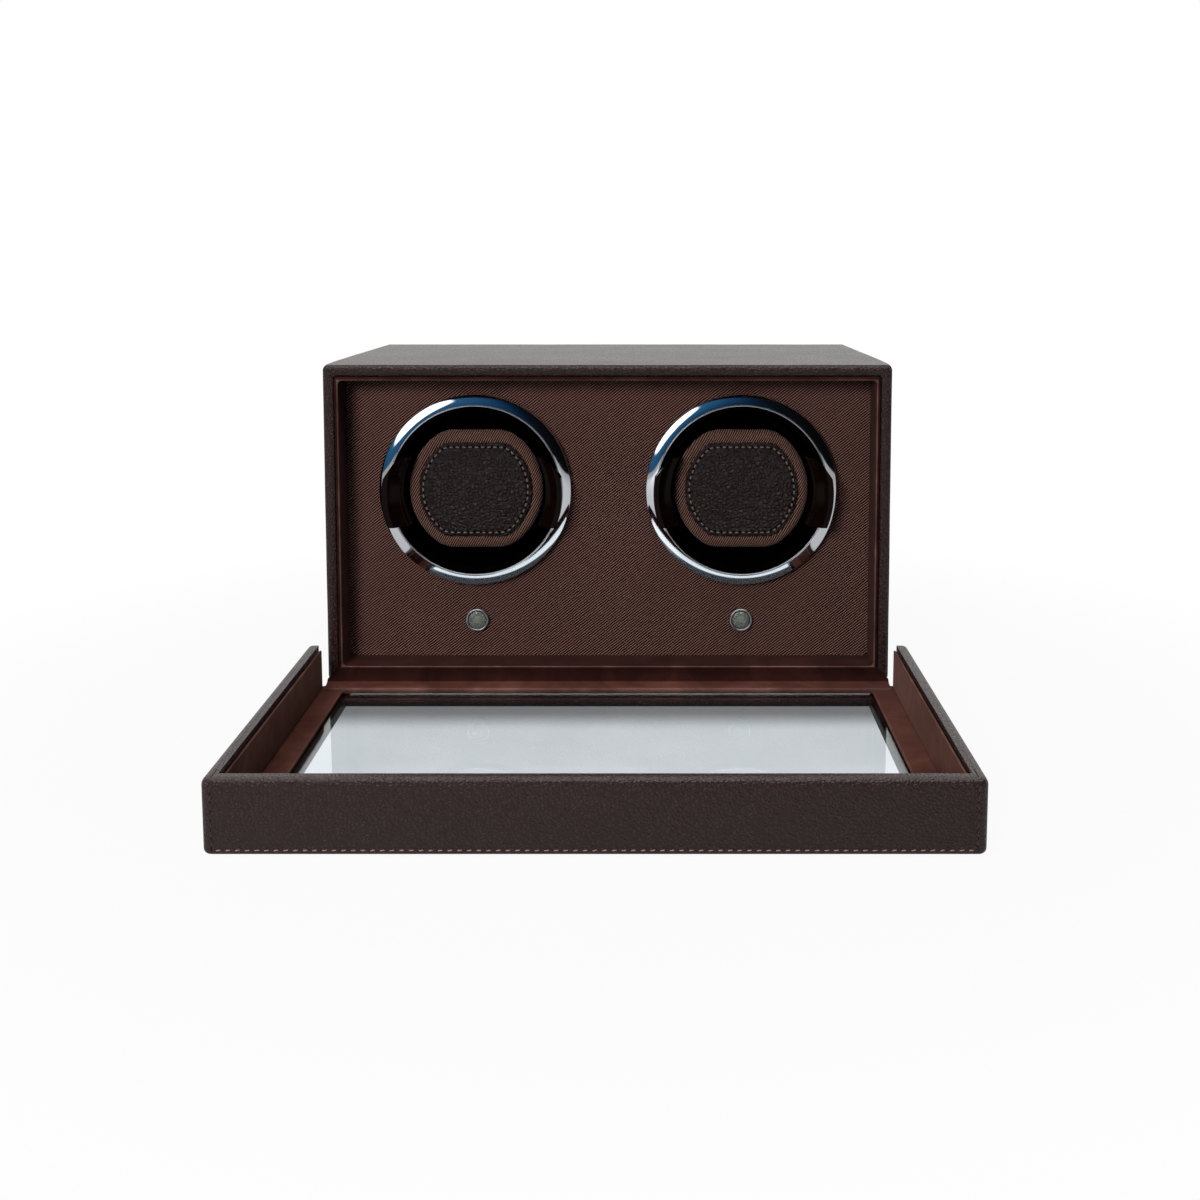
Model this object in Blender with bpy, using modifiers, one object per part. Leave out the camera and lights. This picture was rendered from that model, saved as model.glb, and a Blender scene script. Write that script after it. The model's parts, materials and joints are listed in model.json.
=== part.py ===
# Winder for two automatic watches: a leather-covered case whose hinged glass
# cover lies opened flat in front of it. Two drums turn behind chrome bezels,
# each holding a cuff with a watch cushion, and each has a push button below.
#
# Units are metres. X runs to the right, Y into the case from its front face,
# and Z up. The origin is on the table, below the middle of the hinge.

import math

import bmesh
import bpy
from mathutils import Vector

# Clearances
SEAT_GAP = 0.0003
RUNNING_GAP = 0.0001
HINGE_GAP = 0.0004
OVERRUN = 0.001
MERGE_DISTANCE = 0.00001

# Case
CASE_WIDTH = 0.286
CASE_HEIGHT = 0.162
CASE_DEPTH = 0.174
CASE_WALL = 0.006
CASE_EDGE_RADIUS = 0.0035
LEDGE_WIDTH = 0.008
LEDGE_THICKNESS = 0.010
BACK_RECESS = 0.005
BACK_PANEL_THICKNESS = 0.0032

# Feet
FOOT_HEIGHT = 0.0143
FOOT_RADIUS = 0.011
FOOT_EDGE = 0.0012
FOOT_INSET = 0.018
FOOT_SOLE_SHARE = 0.88

# Front recess, its lining and the cloth-covered panel
RECESS_DEPTH = 0.020
LINING_WALL = 0.0018
PANEL_THICKNESS = 0.003

# Places of the two winding modules and their buttons
MODULE_SPREAD_SHARE = 0.5007
# The free height inside the lining is shared out below, between and above them
BELOW_BUTTON_SHARE = 0.3806
ABOVE_BEZEL_SHARE = 0.2472

# Chrome bezel: shares of its width and rise, up the inside and down the outside
BEZEL_EASE = 0.0003
BEZEL_WIDTH = 0.0060
BEZEL_RISE = 0.0066
BEZEL_SHARES = ((0, 0), (0, 0.88), (0.12, 1), (0.38, 0.94), (0.68, 0.70), (0.9, 0.34), (1, 0))

# Well housing and its rear plate
HOUSING_EASE = 0.0015
HOUSING_WALL = 0.002
HOUSING_LENGTH = 0.058
HOUSING_FLANGE_WIDTH = 0.0035
HOUSING_FLANGE_THICKNESS = 0.0022
REAR_PLATE_THICKNESS = 0.003
REAR_PLATE_LAP = 0.0015
REAR_PLATE_SKIRT = 0.0168

# Drum, its spindle and bush
DRUM_INNER_RADIUS = 0.041
DRUM_WALL = 0.002
DRUM_SETBACK = 0.0016
DRUM_LENGTH = 0.060
DRUM_FLOOR = 0.003
DRUM_HUB_RADIUS = 0.007
SPINDLE_RADIUS = 0.004
SPINDLE_HEAD_RADIUS = 0.007
SPINDLE_HEAD_THICKNESS = 0.002
SPINDLE_TAIL = 0.002
BUSH_WALL = 0.002
BUSH_FLANGE_WIDTH = 0.0025
BUSH_FLANGE_THICKNESS = 0.0012

# Gear train
GEAR_MODULE = 0.00125
DRUM_GEAR_TEETH = 56
PINION_TEETH = 16
GEAR_THICKNESS = 0.005
GEAR_BACKLASH = 0.00014
MESH_EASE = 0.0002
PRESSURE_ANGLE = math.radians(20)
ADDENDUM_SHARE = 0.95
DEDENDUM_SHARE = 1.2

# Gear motor and its channel bracket
MOTOR_RADIUS = 0.0122
MOTOR_LENGTH = 0.038
MOTOR_BOSS_RADIUS = 0.0045
MOTOR_BOSS_LENGTH = 0.0024
MOTOR_SHAFT_RADIUS = 0.002
SHAFT_SOCKET = 0.0024
SHAFT_END_GAP = 0.0004
BRACKET_SPAN = 0.050
BRACKET_HEIGHT = 0.026
BRACKET_LEG = 0.003
BRACKET_PLATE = 0.0017
BRACKET_REACH = 0.0136

# Cuff: two arms inside the drum, a back disc, and a finger wing over each side of the bezel
CUFF_ARM_WALL = 0.0044
CUFF_ARM_EASE = 0.0003
WING_LAP = 0.0022
WING_TOP = 0.018
WING_OUTER_TOP = 0.008
WING_BOTTOM = 0.017
WING_THICKNESS = 0.010
WING_FRONT_Y = 0.0012
WING_LAND = 0.0026
SCOOP_DEPTH = 0.0055
ARM_LAP = 0.006
CUFF_DISC_EASE = 0.0025
CUFF_DISC_THICKNESS = 0.0035

# Watch cushion and patch: round, with a flat top and bottom for the watch strap
CUSHION_SIDE_GAP = 0.001
STRAP_ROOM = 0.0042
CUSHION_DEPTH = 0.044
CUSHION_CROWN = 0.0016
CUSHION_FRONT_Y = 0.0185
PATCH_SIDE_MARGIN = 0.0055
PATCH_FLAT_MARGIN = 0.0067
PATCH_THICKNESS = 0.0016
CAGE_SWELL_SHARE = 1.025
# Rings of the cushion's cage: share of its radius, share of its depth
CUSHION_RING_SHARES = (
    (0.62, 0.012), (0.93, 0.03), (1, 0.10), (0.96, 0.5), (1, 0.88), (0.93, 0.985), (0.5, 1))
PATCH_RING_SHARES = ((0.86, 0.08), (0.98, 0.24), (1, 0.6), (0.97, 1), (0.5, 1))

# Push button
BUTTON_RIM_RADIUS = 0.0059
BUTTON_RIM_RISE = 0.003
BUTTON_BARREL_RADIUS = 0.0053
BUTTON_BARREL_LENGTH = 0.007
BUTTON_BORE_RADIUS = 0.0048
LENS_RADIUS = 0.0045
LENS_PROUD = 0.0008
LENS_LENGTH = 0.0078
LENS_STEM_RADIUS = 0.0015
BUTTON_TRAVEL = 0.0015
SWITCH_RADIUS = 0.0075
SWITCH_FLOOR = 0.0033
# Lens crown: share of its radius, share of LENS_CROWN
LENS_CROWN = 0.0016
LENS_CROWN_SHARES = ((0, 0), (0.5, 0.1), (0.85, 0.45), (1, 1))

# Electrics on the back panel
BOARD_WIDTH = 0.060
BOARD_HEIGHT = 0.040
BOARD_THICKNESS = 0.0016
BOARD_RISE = 0.045
STANDOFF_RADIUS = 0.0025
STANDOFF_LENGTH = 0.0073
STANDOFF_INSET = 0.005
CHIP_SIZE = 0.010
CHIP_THICKNESS = 0.0025
SOCKET_X = 0.070
SOCKET_RISE = 0.026
SOCKET_RADIUS = 0.005
SOCKET_FLANGE_RADIUS = 0.0065
SOCKET_FLANGE_THICKNESS = 0.0009
SOCKET_LENGTH = 0.012
SOCKET_BORE_RADIUS = 0.0028
SOCKET_BORE_DEPTH = 0.009
SOCKET_PIN_RADIUS = 0.001
SOCKET_PIN_LENGTH = 0.0075
SCREW_RADIUS = 0.0015
SCREW_HEAD_RADIUS = 0.0032
SCREW_HEAD_HEIGHT = 0.001
SCREW_LENGTH = 0.0105
HOLE_EASE = 0.0003

# Hinge: the axis runs along X at the case's lower front edge
HINGE_RISE = 0.0005
HINGE_INSET = 0.012
KNUCKLE_RADIUS = 0.0015
KNUCKLE_COUNT = 5
PIN_RADIUS = 0.0007
PIN_GAP = 0.00015
CHANNEL_RADIUS = 0.002
LEAF_THICKNESS = 0.0006
CASE_LEAF_HEIGHT = 0.0052
CASE_LEAF_Y = 0.00055
COVER_LEAF_LENGTH = 0.009
COVER_LEAF_THICKNESS = 0.0005
LEAF_NOTCH = 0.0019
CLOTH_THICKNESS = 0.0003
CLOTH_GAP = 0.00025
REBATE_DEPTH = 0.0014
CASE_CLOTH_START = 0.0021
COVER_CLOTH_END = 0.0105

# Cover, in its own frame: the hinge axis is its zero, it runs to -Y and its inside is up
COVER_UNDER = 0.0102
COVER_WALL_RISE = 0.0205
COVER_WALL = 0.0057
COVER_EDGE_RADIUS = 0.003
COVER_SIDE_GAP = 0.0008
COVER_TOP_GAP = 0.0015
COVER_HEEL = 0.0024
WALL_HEEL = 0.006
COVER_LINING = 0.0012
COVER_LINING_DROP = 0.0025
MAT_THICKNESS = 0.0014
MAT_BELOW_AXIS = 0.0015
WINDOW_SIDE_MARGIN = 0.014
WINDOW_START = 0.012
WINDOW_END_MARGIN = 0.0125
REVEAL_LAP = 0.0005
GLASS_THICKNESS = 0.002
GLASS_LAP = 0.004
FLOOR_CLEARANCE = 0.00015

# Magnets that keep the cover shut
MAGNET_RADIUS = 0.005
MAGNET_THICKNESS = 0.003
MAGNET_Y = 0.010

# Fineness of round shapes
RING_STEPS = 48
SMALL_STEPS = 20
PIN_STEPS = 12
CAGE_POINTS = 16
ARC_STEPS = 6
EDGE_SEGMENTS = 3
CREASE_ANGLE = math.radians(35)

# Levels worked out from the sizes above
CASE_BOTTOM_Z = FOOT_HEIGHT + SEAT_GAP
CASE_TOP_Z = CASE_BOTTOM_Z + CASE_HEIGHT
HINGE_Z = CASE_BOTTOM_Z + HINGE_RISE
HALF_WIDTH = CASE_WIDTH / 2
BAY_HALF_WIDTH = HALF_WIDTH - CASE_WALL
BAY_BOTTOM_Z = CASE_BOTTOM_Z + CASE_WALL
BAY_TOP_Z = CASE_TOP_Z - CASE_WALL
MODULE_X = BAY_HALF_WIDTH * MODULE_SPREAD_SHARE
HINGE_LENGTH = 2 * (BAY_HALF_WIDTH - HINGE_INSET)
DRUM_RADIUS = DRUM_INNER_RADIUS + DRUM_WALL
BEZEL_INNER_RADIUS = DRUM_RADIUS + BEZEL_EASE
BEZEL_RADIUS = BEZEL_INNER_RADIUS + BEZEL_WIDTH
HOUSING_BORE_RADIUS = DRUM_RADIUS + HOUSING_EASE
HOUSING_RADIUS = HOUSING_BORE_RADIUS + HOUSING_WALL
CUFF_INNER_RADIUS = DRUM_INNER_RADIUS - CUFF_ARM_EASE - CUFF_ARM_WALL
WING_RADIUS = BEZEL_INNER_RADIUS + WING_LAP
CUFF_DISC_RADIUS = DRUM_INNER_RADIUS - CUFF_DISC_EASE
CUSHION_RADIUS = CUFF_INNER_RADIUS - CUSHION_SIDE_GAP
CUSHION_FLAT = CUSHION_RADIUS - STRAP_ROOM
PATCH_RADIUS = CUSHION_RADIUS - PATCH_SIDE_MARGIN
PATCH_FLAT = CUSHION_FLAT - PATCH_FLAT_MARGIN
LINED_WALL = CASE_WALL + LINING_WALL
FREE_HEIGHT = CASE_HEIGHT - 2 * (LINED_WALL + BEZEL_RADIUS + BUTTON_RIM_RADIUS)
BUTTON_Z = CASE_BOTTOM_Z + LINED_WALL + FREE_HEIGHT * BELOW_BUTTON_SHARE + BUTTON_RIM_RADIUS
MODULE_Z = CASE_TOP_Z - LINED_WALL - FREE_HEIGHT * ABOVE_BEZEL_SHARE - BEZEL_RADIUS
PANEL_BACK_Y = RECESS_DEPTH + PANEL_THICKNESS
HOUSING_BACK_Y = RECESS_DEPTH + HOUSING_LENGTH
REAR_PLATE_Y = HOUSING_BACK_Y + SEAT_GAP
REAR_PLATE_BACK_Y = REAR_PLATE_Y + REAR_PLATE_THICKNESS
DRUM_FRONT_Y = RECESS_DEPTH - BEZEL_RISE + DRUM_SETBACK
DRUM_BACK_Y = DRUM_FRONT_Y + DRUM_LENGTH
DRUM_FLOOR_Y = DRUM_BACK_Y - DRUM_FLOOR
BUSH_FLANGE_Y = REAR_PLATE_BACK_Y + SEAT_GAP
GEAR_Y = BUSH_FLANGE_Y + BUSH_FLANGE_THICKNESS + SEAT_GAP
GEAR_CENTRES = GEAR_MODULE * (DRUM_GEAR_TEETH + PINION_TEETH) / 2 + MESH_EASE
MOTOR_Y = REAR_PLATE_BACK_Y + SEAT_GAP + BRACKET_REACH + SEAT_GAP
LEDGE_BACK_Y = CASE_DEPTH - BACK_RECESS
BACK_PANEL_Y = LEDGE_BACK_Y + SEAT_GAP
BACK_PANEL_BACK_Y = BACK_PANEL_Y + BACK_PANEL_THICKNESS

# The cover's levels, in its own frame
MAT_TOP = -MAT_BELOW_AXIS
MAT_BOTTOM = MAT_TOP - MAT_THICKNESS
DECK = MAT_BOTTOM - SEAT_GAP
COVER_RIM = COVER_WALL_RISE
LINING_FACE_X = HALF_WIDTH + COVER_SIDE_GAP
TRAY_HALF_WIDTH = LINING_FACE_X + COVER_LINING + SEAT_GAP
COVER_HALF_WIDTH = TRAY_HALF_WIDTH + COVER_WALL
WINDOW_HALF_WIDTH = TRAY_HALF_WIDTH - WINDOW_SIDE_MARGIN
LINING_FACE_U = CASE_TOP_Z - HINGE_Z + COVER_TOP_GAP
TRAY_LENGTH = LINING_FACE_U + COVER_LINING + SEAT_GAP
COVER_LENGTH = TRAY_LENGTH + COVER_WALL
WINDOW_END = TRAY_LENGTH - WINDOW_END_MARGIN
COVER_TILT = math.asin((HINGE_Z - COVER_UNDER - FLOOR_CLEARANCE) / (COVER_LENGTH - COVER_EDGE_RADIUS))

SIDES = (("left", -1), ("right", 1))


def clear_scene():
    for obj in list(bpy.data.objects):
        bpy.data.objects.remove(obj)


def new_collection(name):
    collection = bpy.data.collections.new(name)
    bpy.context.scene.collection.children.link(collection)
    return collection


def surface(name, colour, roughness, metallic=0.0, alpha=1.0):
    material = bpy.data.materials.new(name)
    material.use_nodes = True
    shader = material.node_tree.nodes["Principled BSDF"]
    shader.inputs["Base Color"].default_value = (*colour, 1)
    shader.inputs["Roughness"].default_value = roughness
    shader.inputs["Metallic"].default_value = metallic
    shader.inputs["Alpha"].default_value = alpha
    return material


def place(obj, name, material, parent=None):
    obj.name = name
    obj.data.name = name
    if material:
        obj.data.materials.append(material)
        PIECES.objects.link(obj)
    else:
        CUTTERS.objects.link(obj)
        obj.hide_render = True
        obj.display_type = "WIRE"
    obj.parent = parent
    return obj


def box(name, low, high, material=None, parent=None, edge=0.0):
    """A box between two corners, with its edges rounded by a Bevel when edge is given."""
    low, high = Vector(low), Vector(high)
    mesh = bpy.data.meshes.new(name)
    shape = bmesh.new()
    bmesh.ops.create_cube(shape, size=1)
    bmesh.ops.scale(shape, vec=high - low, verts=shape.verts)
    shape.to_mesh(mesh)
    shape.free()
    obj = bpy.data.objects.new(name, mesh)
    obj.location = (low + high) / 2
    if edge:
        bevel = obj.modifiers.new("rounded edges", "BEVEL")
        bevel.width = edge
        bevel.segments = EDGE_SEGMENTS
    return place(obj, name, material, parent)


def smooth(obj):
    obj.data.shade_smooth()
    obj.data.set_sharp_from_angle(angle=CREASE_ANGLE)
    return obj


def turned(name, profile, centre, material=None, parent=None, closed=False, steps=RING_STEPS, upright=False):
    """A profile of (radius, depth) turned about Y, or of (radius, height) about Z when upright.

    It runs up the inner side and down the outer side, seen from the front.
    """
    mesh = bpy.data.meshes.new(name)
    sign = 1 if upright else -1
    count = len(profile)
    edges = [(i, i + 1) for i in range(count - 1)]
    if closed:
        edges.append((count - 1, 0))
    mesh.from_pydata([(radius, 0, sign * along) for radius, along in profile], edges, [])
    obj = bpy.data.objects.new(name, mesh)
    obj.location = centre
    if not upright:
        obj.rotation_euler = (math.pi / 2, 0, 0)
    screw = obj.modifiers.new("turned", "SCREW")
    screw.axis = "Z"
    screw.angle = math.tau
    screw.steps = steps
    screw.render_steps = steps
    screw.use_merge_vertices = True
    screw.merge_threshold = MERGE_DISTANCE
    screw.use_smooth_shade = True
    return place(obj, name, material, parent)


def rod(name, radius, front, back, centre, material=None, parent=None, steps=SMALL_STEPS):
    """A plain round bar along Y."""
    profile = [(0, front), (radius, front), (radius, back), (0, back)]
    return turned(name, profile, centre, material, parent, steps=steps)


def outline_solid(name, outlines, low, high, centre=(0, 0, 0), material=None, parent=None, flat=False):
    """Closed outlines, the first with the others cut out of it, given a thickness.

    Upright outlines are (x, z) and run from low to high along Y. Flat ones are (x, y) and run along Z.
    """
    curve = bpy.data.curves.new(name, "CURVE")
    curve.dimensions = "2D"
    curve.fill_mode = "BOTH"
    curve.extrude = (high - low) / 2
    for outline in outlines:
        spline = curve.splines.new("POLY")
        spline.points.add(len(outline) - 1)
        for point, (x, y) in zip(spline.points, outline):
            point.co = (x, y, 0, 1)
        spline.use_cyclic_u = True
    obj = bpy.data.objects.new(name, curve)
    middle = (low + high) / 2
    if flat:
        obj.location = Vector(centre) + Vector((0, 0, middle))
    else:
        obj.location = Vector(centre) + Vector((0, middle, 0))
        obj.rotation_euler = (math.pi / 2, 0, 0)
    return place(obj, name, material, parent)


def as_mesh(obj):
    """The same piece as a mesh with welded caps, so that a Boolean can cut or join it."""
    bpy.context.view_layer.update()
    evaluated = obj.evaluated_get(bpy.context.evaluated_depsgraph_get())
    mesh = bpy.data.meshes.new_from_object(evaluated)
    shape = bmesh.new()
    shape.from_mesh(mesh)
    bmesh.ops.remove_doubles(shape, verts=shape.verts, dist=MERGE_DISTANCE)
    shape.to_mesh(mesh)
    shape.free()
    name, parent, matrix = obj.name, obj.parent, obj.matrix_world.copy()
    material = obj.data.materials[0] if obj.data.materials else None
    bpy.data.objects.remove(obj)
    mesh.materials.clear()
    solid = place(bpy.data.objects.new(name, mesh), name, material, parent)
    solid.matrix_world = matrix
    return solid


def boolean(obj, other, operation):
    modifier = obj.modifiers.new(operation.lower(), "BOOLEAN")
    modifier.operation = operation
    modifier.object = other
    return obj


def cut(obj, *cutters):
    for cutter in cutters:
        boolean(obj, cutter, "DIFFERENCE")
    return obj


def join(obj, *others):
    for other in others:
        boolean(obj, other, "UNION")
    return obj


def rectangle(low_x, high_x, low_y, high_y):
    return [(low_x, low_y), (high_x, low_y), (high_x, high_y), (low_x, high_y)]


def circle(radius, x=0.0, y=0.0, steps=RING_STEPS):
    angles = [math.tau * i / steps for i in range(steps)]
    return [(x + radius * math.cos(a), y + radius * math.sin(a)) for a in angles]


def arc(radius, low, high, steps=ARC_STEPS):
    """Points on a circle about the origin between the heights low and high, on its right side."""
    start, end = math.asin(low / radius), math.asin(high / radius)
    angles = [start + (end - start) * i / steps for i in range(steps + 1)]
    return [(radius * math.cos(a), radius * math.sin(a)) for a in angles]


def gear_outline(teeth, phase):
    """Involute teeth of the train's module, the first one centred at the angle phase."""
    pitch_radius = GEAR_MODULE * teeth / 2
    base_radius = pitch_radius * math.cos(PRESSURE_ANGLE)
    tip_radius = pitch_radius + GEAR_MODULE * ADDENDUM_SHARE
    root_radius = pitch_radius - GEAR_MODULE * DEDENDUM_SHARE
    half_tooth = (math.pi * GEAR_MODULE / 2 - GEAR_BACKLASH) / (2 * pitch_radius)

    def involute(angle):
        return math.tan(angle) - angle

    def half_angle(radius):
        pressure = math.acos(base_radius / max(radius, base_radius))
        return half_tooth + involute(PRESSURE_ANGLE) - involute(pressure)

    flank = [(radius, half_angle(radius)) for radius in (root_radius, tip_radius)]
    points = []
    for tooth in range(teeth):
        centre = phase + math.tau * tooth / teeth
        sides = [(r, centre - a) for r, a in flank] + [(r, centre + a) for r, a in reversed(flank)]
        points += [(r * math.cos(a), r * math.sin(a)) for r, a in sides]
    return points


def soft_solid(name, radius, flat, depth, front_y, crown, ring_shares, material, parent):
    """A padded form whose outline is a circle with its top and bottom cut flat.

    It is a coarse cage of rings, smoothed by Subdivision Surface, crowned at the front.
    """
    shape = bmesh.new()
    rings = []
    for size_share, depth_share in ring_shares:
        ring = []
        for i in range(CAGE_POINTS):
            angle = math.tau * (i + 0.5) / CAGE_POINTS
            reach = radius * CAGE_SWELL_SHARE * size_share
            limit = flat * size_share
            height = max(-limit, min(limit, reach * math.sin(angle)))
            ring.append(shape.verts.new((reach * math.cos(angle), front_y + depth * depth_share, height)))
        rings.append(ring)
    for near, far in zip(rings, rings[1:]):
        for i in range(CAGE_POINTS):
            j = (i + 1) % CAGE_POINTS
            shape.faces.new((near[i], near[j], far[j], far[i]))
    front = shape.verts.new((0, front_y - crown, 0))
    back = shape.verts.new((0, front_y + depth, 0))
    for i in range(CAGE_POINTS):
        j = (i + 1) % CAGE_POINTS
        shape.faces.new((front, rings[0][j], rings[0][i]))
        shape.faces.new((back, rings[-1][i], rings[-1][j]))
    bmesh.ops.recalc_face_normals(shape, faces=shape.faces)
    mesh = bpy.data.meshes.new(name)
    shape.to_mesh(mesh)
    shape.free()
    obj = bpy.data.objects.new(name, mesh)
    subdivision = obj.modifiers.new("soft", "SUBSURF")
    subdivision.levels = 1
    subdivision.render_levels = 1
    place(obj, name, material, parent)
    obj.data.shade_smooth()
    return obj


def empty(name, location, parent=None, turn=0.0):
    obj = bpy.data.objects.new(name, None)
    obj.location = location
    obj.rotation_euler = (turn, 0, 0)
    PIECES.objects.link(obj)
    obj.parent = parent
    return obj


def build_case():
    shell = box(
        "case_shell",
        (-HALF_WIDTH, 0, CASE_BOTTOM_Z),
        (HALF_WIDTH, CASE_DEPTH, CASE_TOP_Z),
        LEATHER,
        edge=CASE_EDGE_RADIUS,
    )
    bay = (BAY_HALF_WIDTH, BAY_BOTTOM_Z, BAY_TOP_Z)
    ledge_front_y = LEDGE_BACK_Y - LEDGE_THICKNESS
    front_bay = box("front_bay", (-bay[0], -OVERRUN, bay[1]), (bay[0], ledge_front_y, bay[2]))
    back_bay = box("back_bay", (-bay[0], LEDGE_BACK_Y, bay[1]), (bay[0], CASE_DEPTH + OVERRUN, bay[2]))
    ledge_hole = box(
        "ledge_hole",
        (LEDGE_WIDTH - bay[0], ledge_front_y - OVERRUN, bay[1] + LEDGE_WIDTH),
        (bay[0] - LEDGE_WIDTH, LEDGE_BACK_Y + OVERRUN, bay[2] - LEDGE_WIDTH),
    )
    channel = case_channel()
    rebate = box(
        "hinge_rebate",
        (-BAY_HALF_WIDTH, -OVERRUN, CASE_BOTTOM_Z - OVERRUN),
        (BAY_HALF_WIDTH, REBATE_DEPTH, BAY_BOTTOM_Z + OVERRUN),
    )
    pocket = turned(
        "case_magnet_pocket",
        [(0, MAGNET_THICKNESS + SEAT_GAP), (MAGNET_RADIUS + HOLE_EASE, MAGNET_THICKNESS + SEAT_GAP),
         (MAGNET_RADIUS + HOLE_EASE, -OVERRUN), (0, -OVERRUN)],
        (0, MAGNET_Y, BAY_TOP_Z),
        steps=SMALL_STEPS,
        upright=True,
    )
    cut(shell, front_bay, back_bay, ledge_hole, channel, rebate, pocket)
    for number, (x, z) in enumerate(screw_places(), 1):
        pilot = rod(
            f"screw_pilot_{number}",
            SCREW_RADIUS + HOLE_EASE,
            ledge_front_y - OVERRUN,
            LEDGE_BACK_Y + OVERRUN,
            (x, 0, z),
            steps=PIN_STEPS,
        )
        cut(shell, pilot)
    turned(
        "case_magnet",
        [(0, MAGNET_THICKNESS), (MAGNET_RADIUS, MAGNET_THICKNESS), (MAGNET_RADIUS, 0), (0, 0)],
        (0, MAGNET_Y, BAY_TOP_Z),
        STEEL,
        steps=SMALL_STEPS,
        upright=True,
    )


def case_channel():
    """The round channel along the hinge axis that clears the knuckles."""
    half = HINGE_LENGTH / 2 + OVERRUN
    channel = rod("hinge_channel", CHANNEL_RADIUS, -half, half, (0, 0, HINGE_Z))
    channel.rotation_euler = (math.pi / 2, 0, math.pi / 2)
    return channel


def screw_places():
    inset = LEDGE_WIDTH / 2
    for z in (BAY_BOTTOM_Z + inset, BAY_TOP_Z - inset):
        for x in (inset - BAY_HALF_WIDTH, BAY_HALF_WIDTH - inset):
            yield x, z


def build_feet():
    sole = FOOT_RADIUS * FOOT_SOLE_SHARE
    profile = [
        (0, FOOT_HEIGHT),
        (FOOT_RADIUS, FOOT_HEIGHT),
        (sole, FOOT_EDGE),
        (sole - FOOT_EDGE, 0),
        (0, 0),
    ]
    for depth, y in (("front", FOOT_INSET), ("back", CASE_DEPTH - FOOT_INSET)):
        for side, sign in SIDES:
            x = sign * (HALF_WIDTH - FOOT_INSET)
            turned(f"foot_{depth}_{side}", profile, (x, y, 0), RUBBER, steps=SMALL_STEPS, upright=True)


def build_front():
    outer_x = BAY_HALF_WIDTH - SEAT_GAP
    low_z, high_z = BAY_BOTTOM_Z + SEAT_GAP, BAY_TOP_Z - SEAT_GAP
    inner_x = outer_x - LINING_WALL
    outline_solid(
        "lining_frame",
        [
            rectangle(-outer_x, outer_x, low_z, high_z),
            rectangle(-inner_x, inner_x, low_z + LINING_WALL, high_z - LINING_WALL),
        ],
        0,
        RECESS_DEPTH - SEAT_GAP,
        material=SUEDE,
    )
    ring_hole = HOUSING_RADIUS + SEAT_GAP
    button_hole = BUTTON_BARREL_RADIUS + SEAT_GAP
    holes = []
    for side, sign in SIDES:
        x = sign * MODULE_X
        holes.append(circle(ring_hole, x, MODULE_Z))
        holes.append(circle(button_hole, x, BUTTON_Z, SMALL_STEPS))
    outline_solid(
        "front_panel",
        [rectangle(-outer_x, outer_x, low_z, high_z), *holes],
        RECESS_DEPTH,
        PANEL_BACK_Y,
        material=TWILL,
    )


def build_back():
    edge_x = BAY_HALF_WIDTH - SEAT_GAP
    socket_z = CASE_BOTTOM_Z + SOCKET_RISE
    holes = [circle(SCREW_RADIUS + HOLE_EASE, x, z, PIN_STEPS) for x, z in screw_places()]
    holes.append(circle(SOCKET_RADIUS + HOLE_EASE, SOCKET_X, socket_z, SMALL_STEPS))
    outline_solid(
        "back_panel",
        [rectangle(-edge_x, edge_x, BAY_BOTTOM_Z + SEAT_GAP, BAY_TOP_Z - SEAT_GAP), *holes],
        BACK_PANEL_Y,
        BACK_PANEL_BACK_Y,
        material=BLACK_BOARD,
    )
    seat_y = BACK_PANEL_BACK_Y + SEAT_GAP
    for number, (x, z) in enumerate(screw_places(), 1):
        profile = [
            (0, seat_y - SCREW_LENGTH),
            (SCREW_RADIUS, seat_y - SCREW_LENGTH),
            (SCREW_RADIUS, seat_y),
            (SCREW_HEAD_RADIUS, seat_y),
            (SCREW_HEAD_RADIUS, seat_y + SCREW_HEAD_HEIGHT / 2),
            (SCREW_HEAD_RADIUS / 2, seat_y + SCREW_HEAD_HEIGHT),
            (0, seat_y + SCREW_HEAD_HEIGHT),
        ]
        turned(f"back_screw_{number}", profile, (x, 0, z), STEEL, steps=PIN_STEPS)
    flange_back = seat_y + SOCKET_FLANGE_THICKNESS
    socket = [
        (0, flange_back - SOCKET_LENGTH),
        (SOCKET_RADIUS, flange_back - SOCKET_LENGTH),
        (SOCKET_RADIUS, seat_y),
        (SOCKET_FLANGE_RADIUS, seat_y),
        (SOCKET_FLANGE_RADIUS, flange_back),
        (SOCKET_BORE_RADIUS, flange_back),
        (SOCKET_BORE_RADIUS, flange_back - SOCKET_BORE_DEPTH),
        (SOCKET_PIN_RADIUS, flange_back - SOCKET_BORE_DEPTH),
        (SOCKET_PIN_RADIUS, flange_back - SOCKET_BORE_DEPTH + SOCKET_PIN_LENGTH),
        (0, flange_back - SOCKET_BORE_DEPTH + SOCKET_PIN_LENGTH),
    ]
    turned("power_socket", socket, (SOCKET_X, 0, socket_z), BLACK_PLASTIC, steps=SMALL_STEPS)
    build_board()


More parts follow.
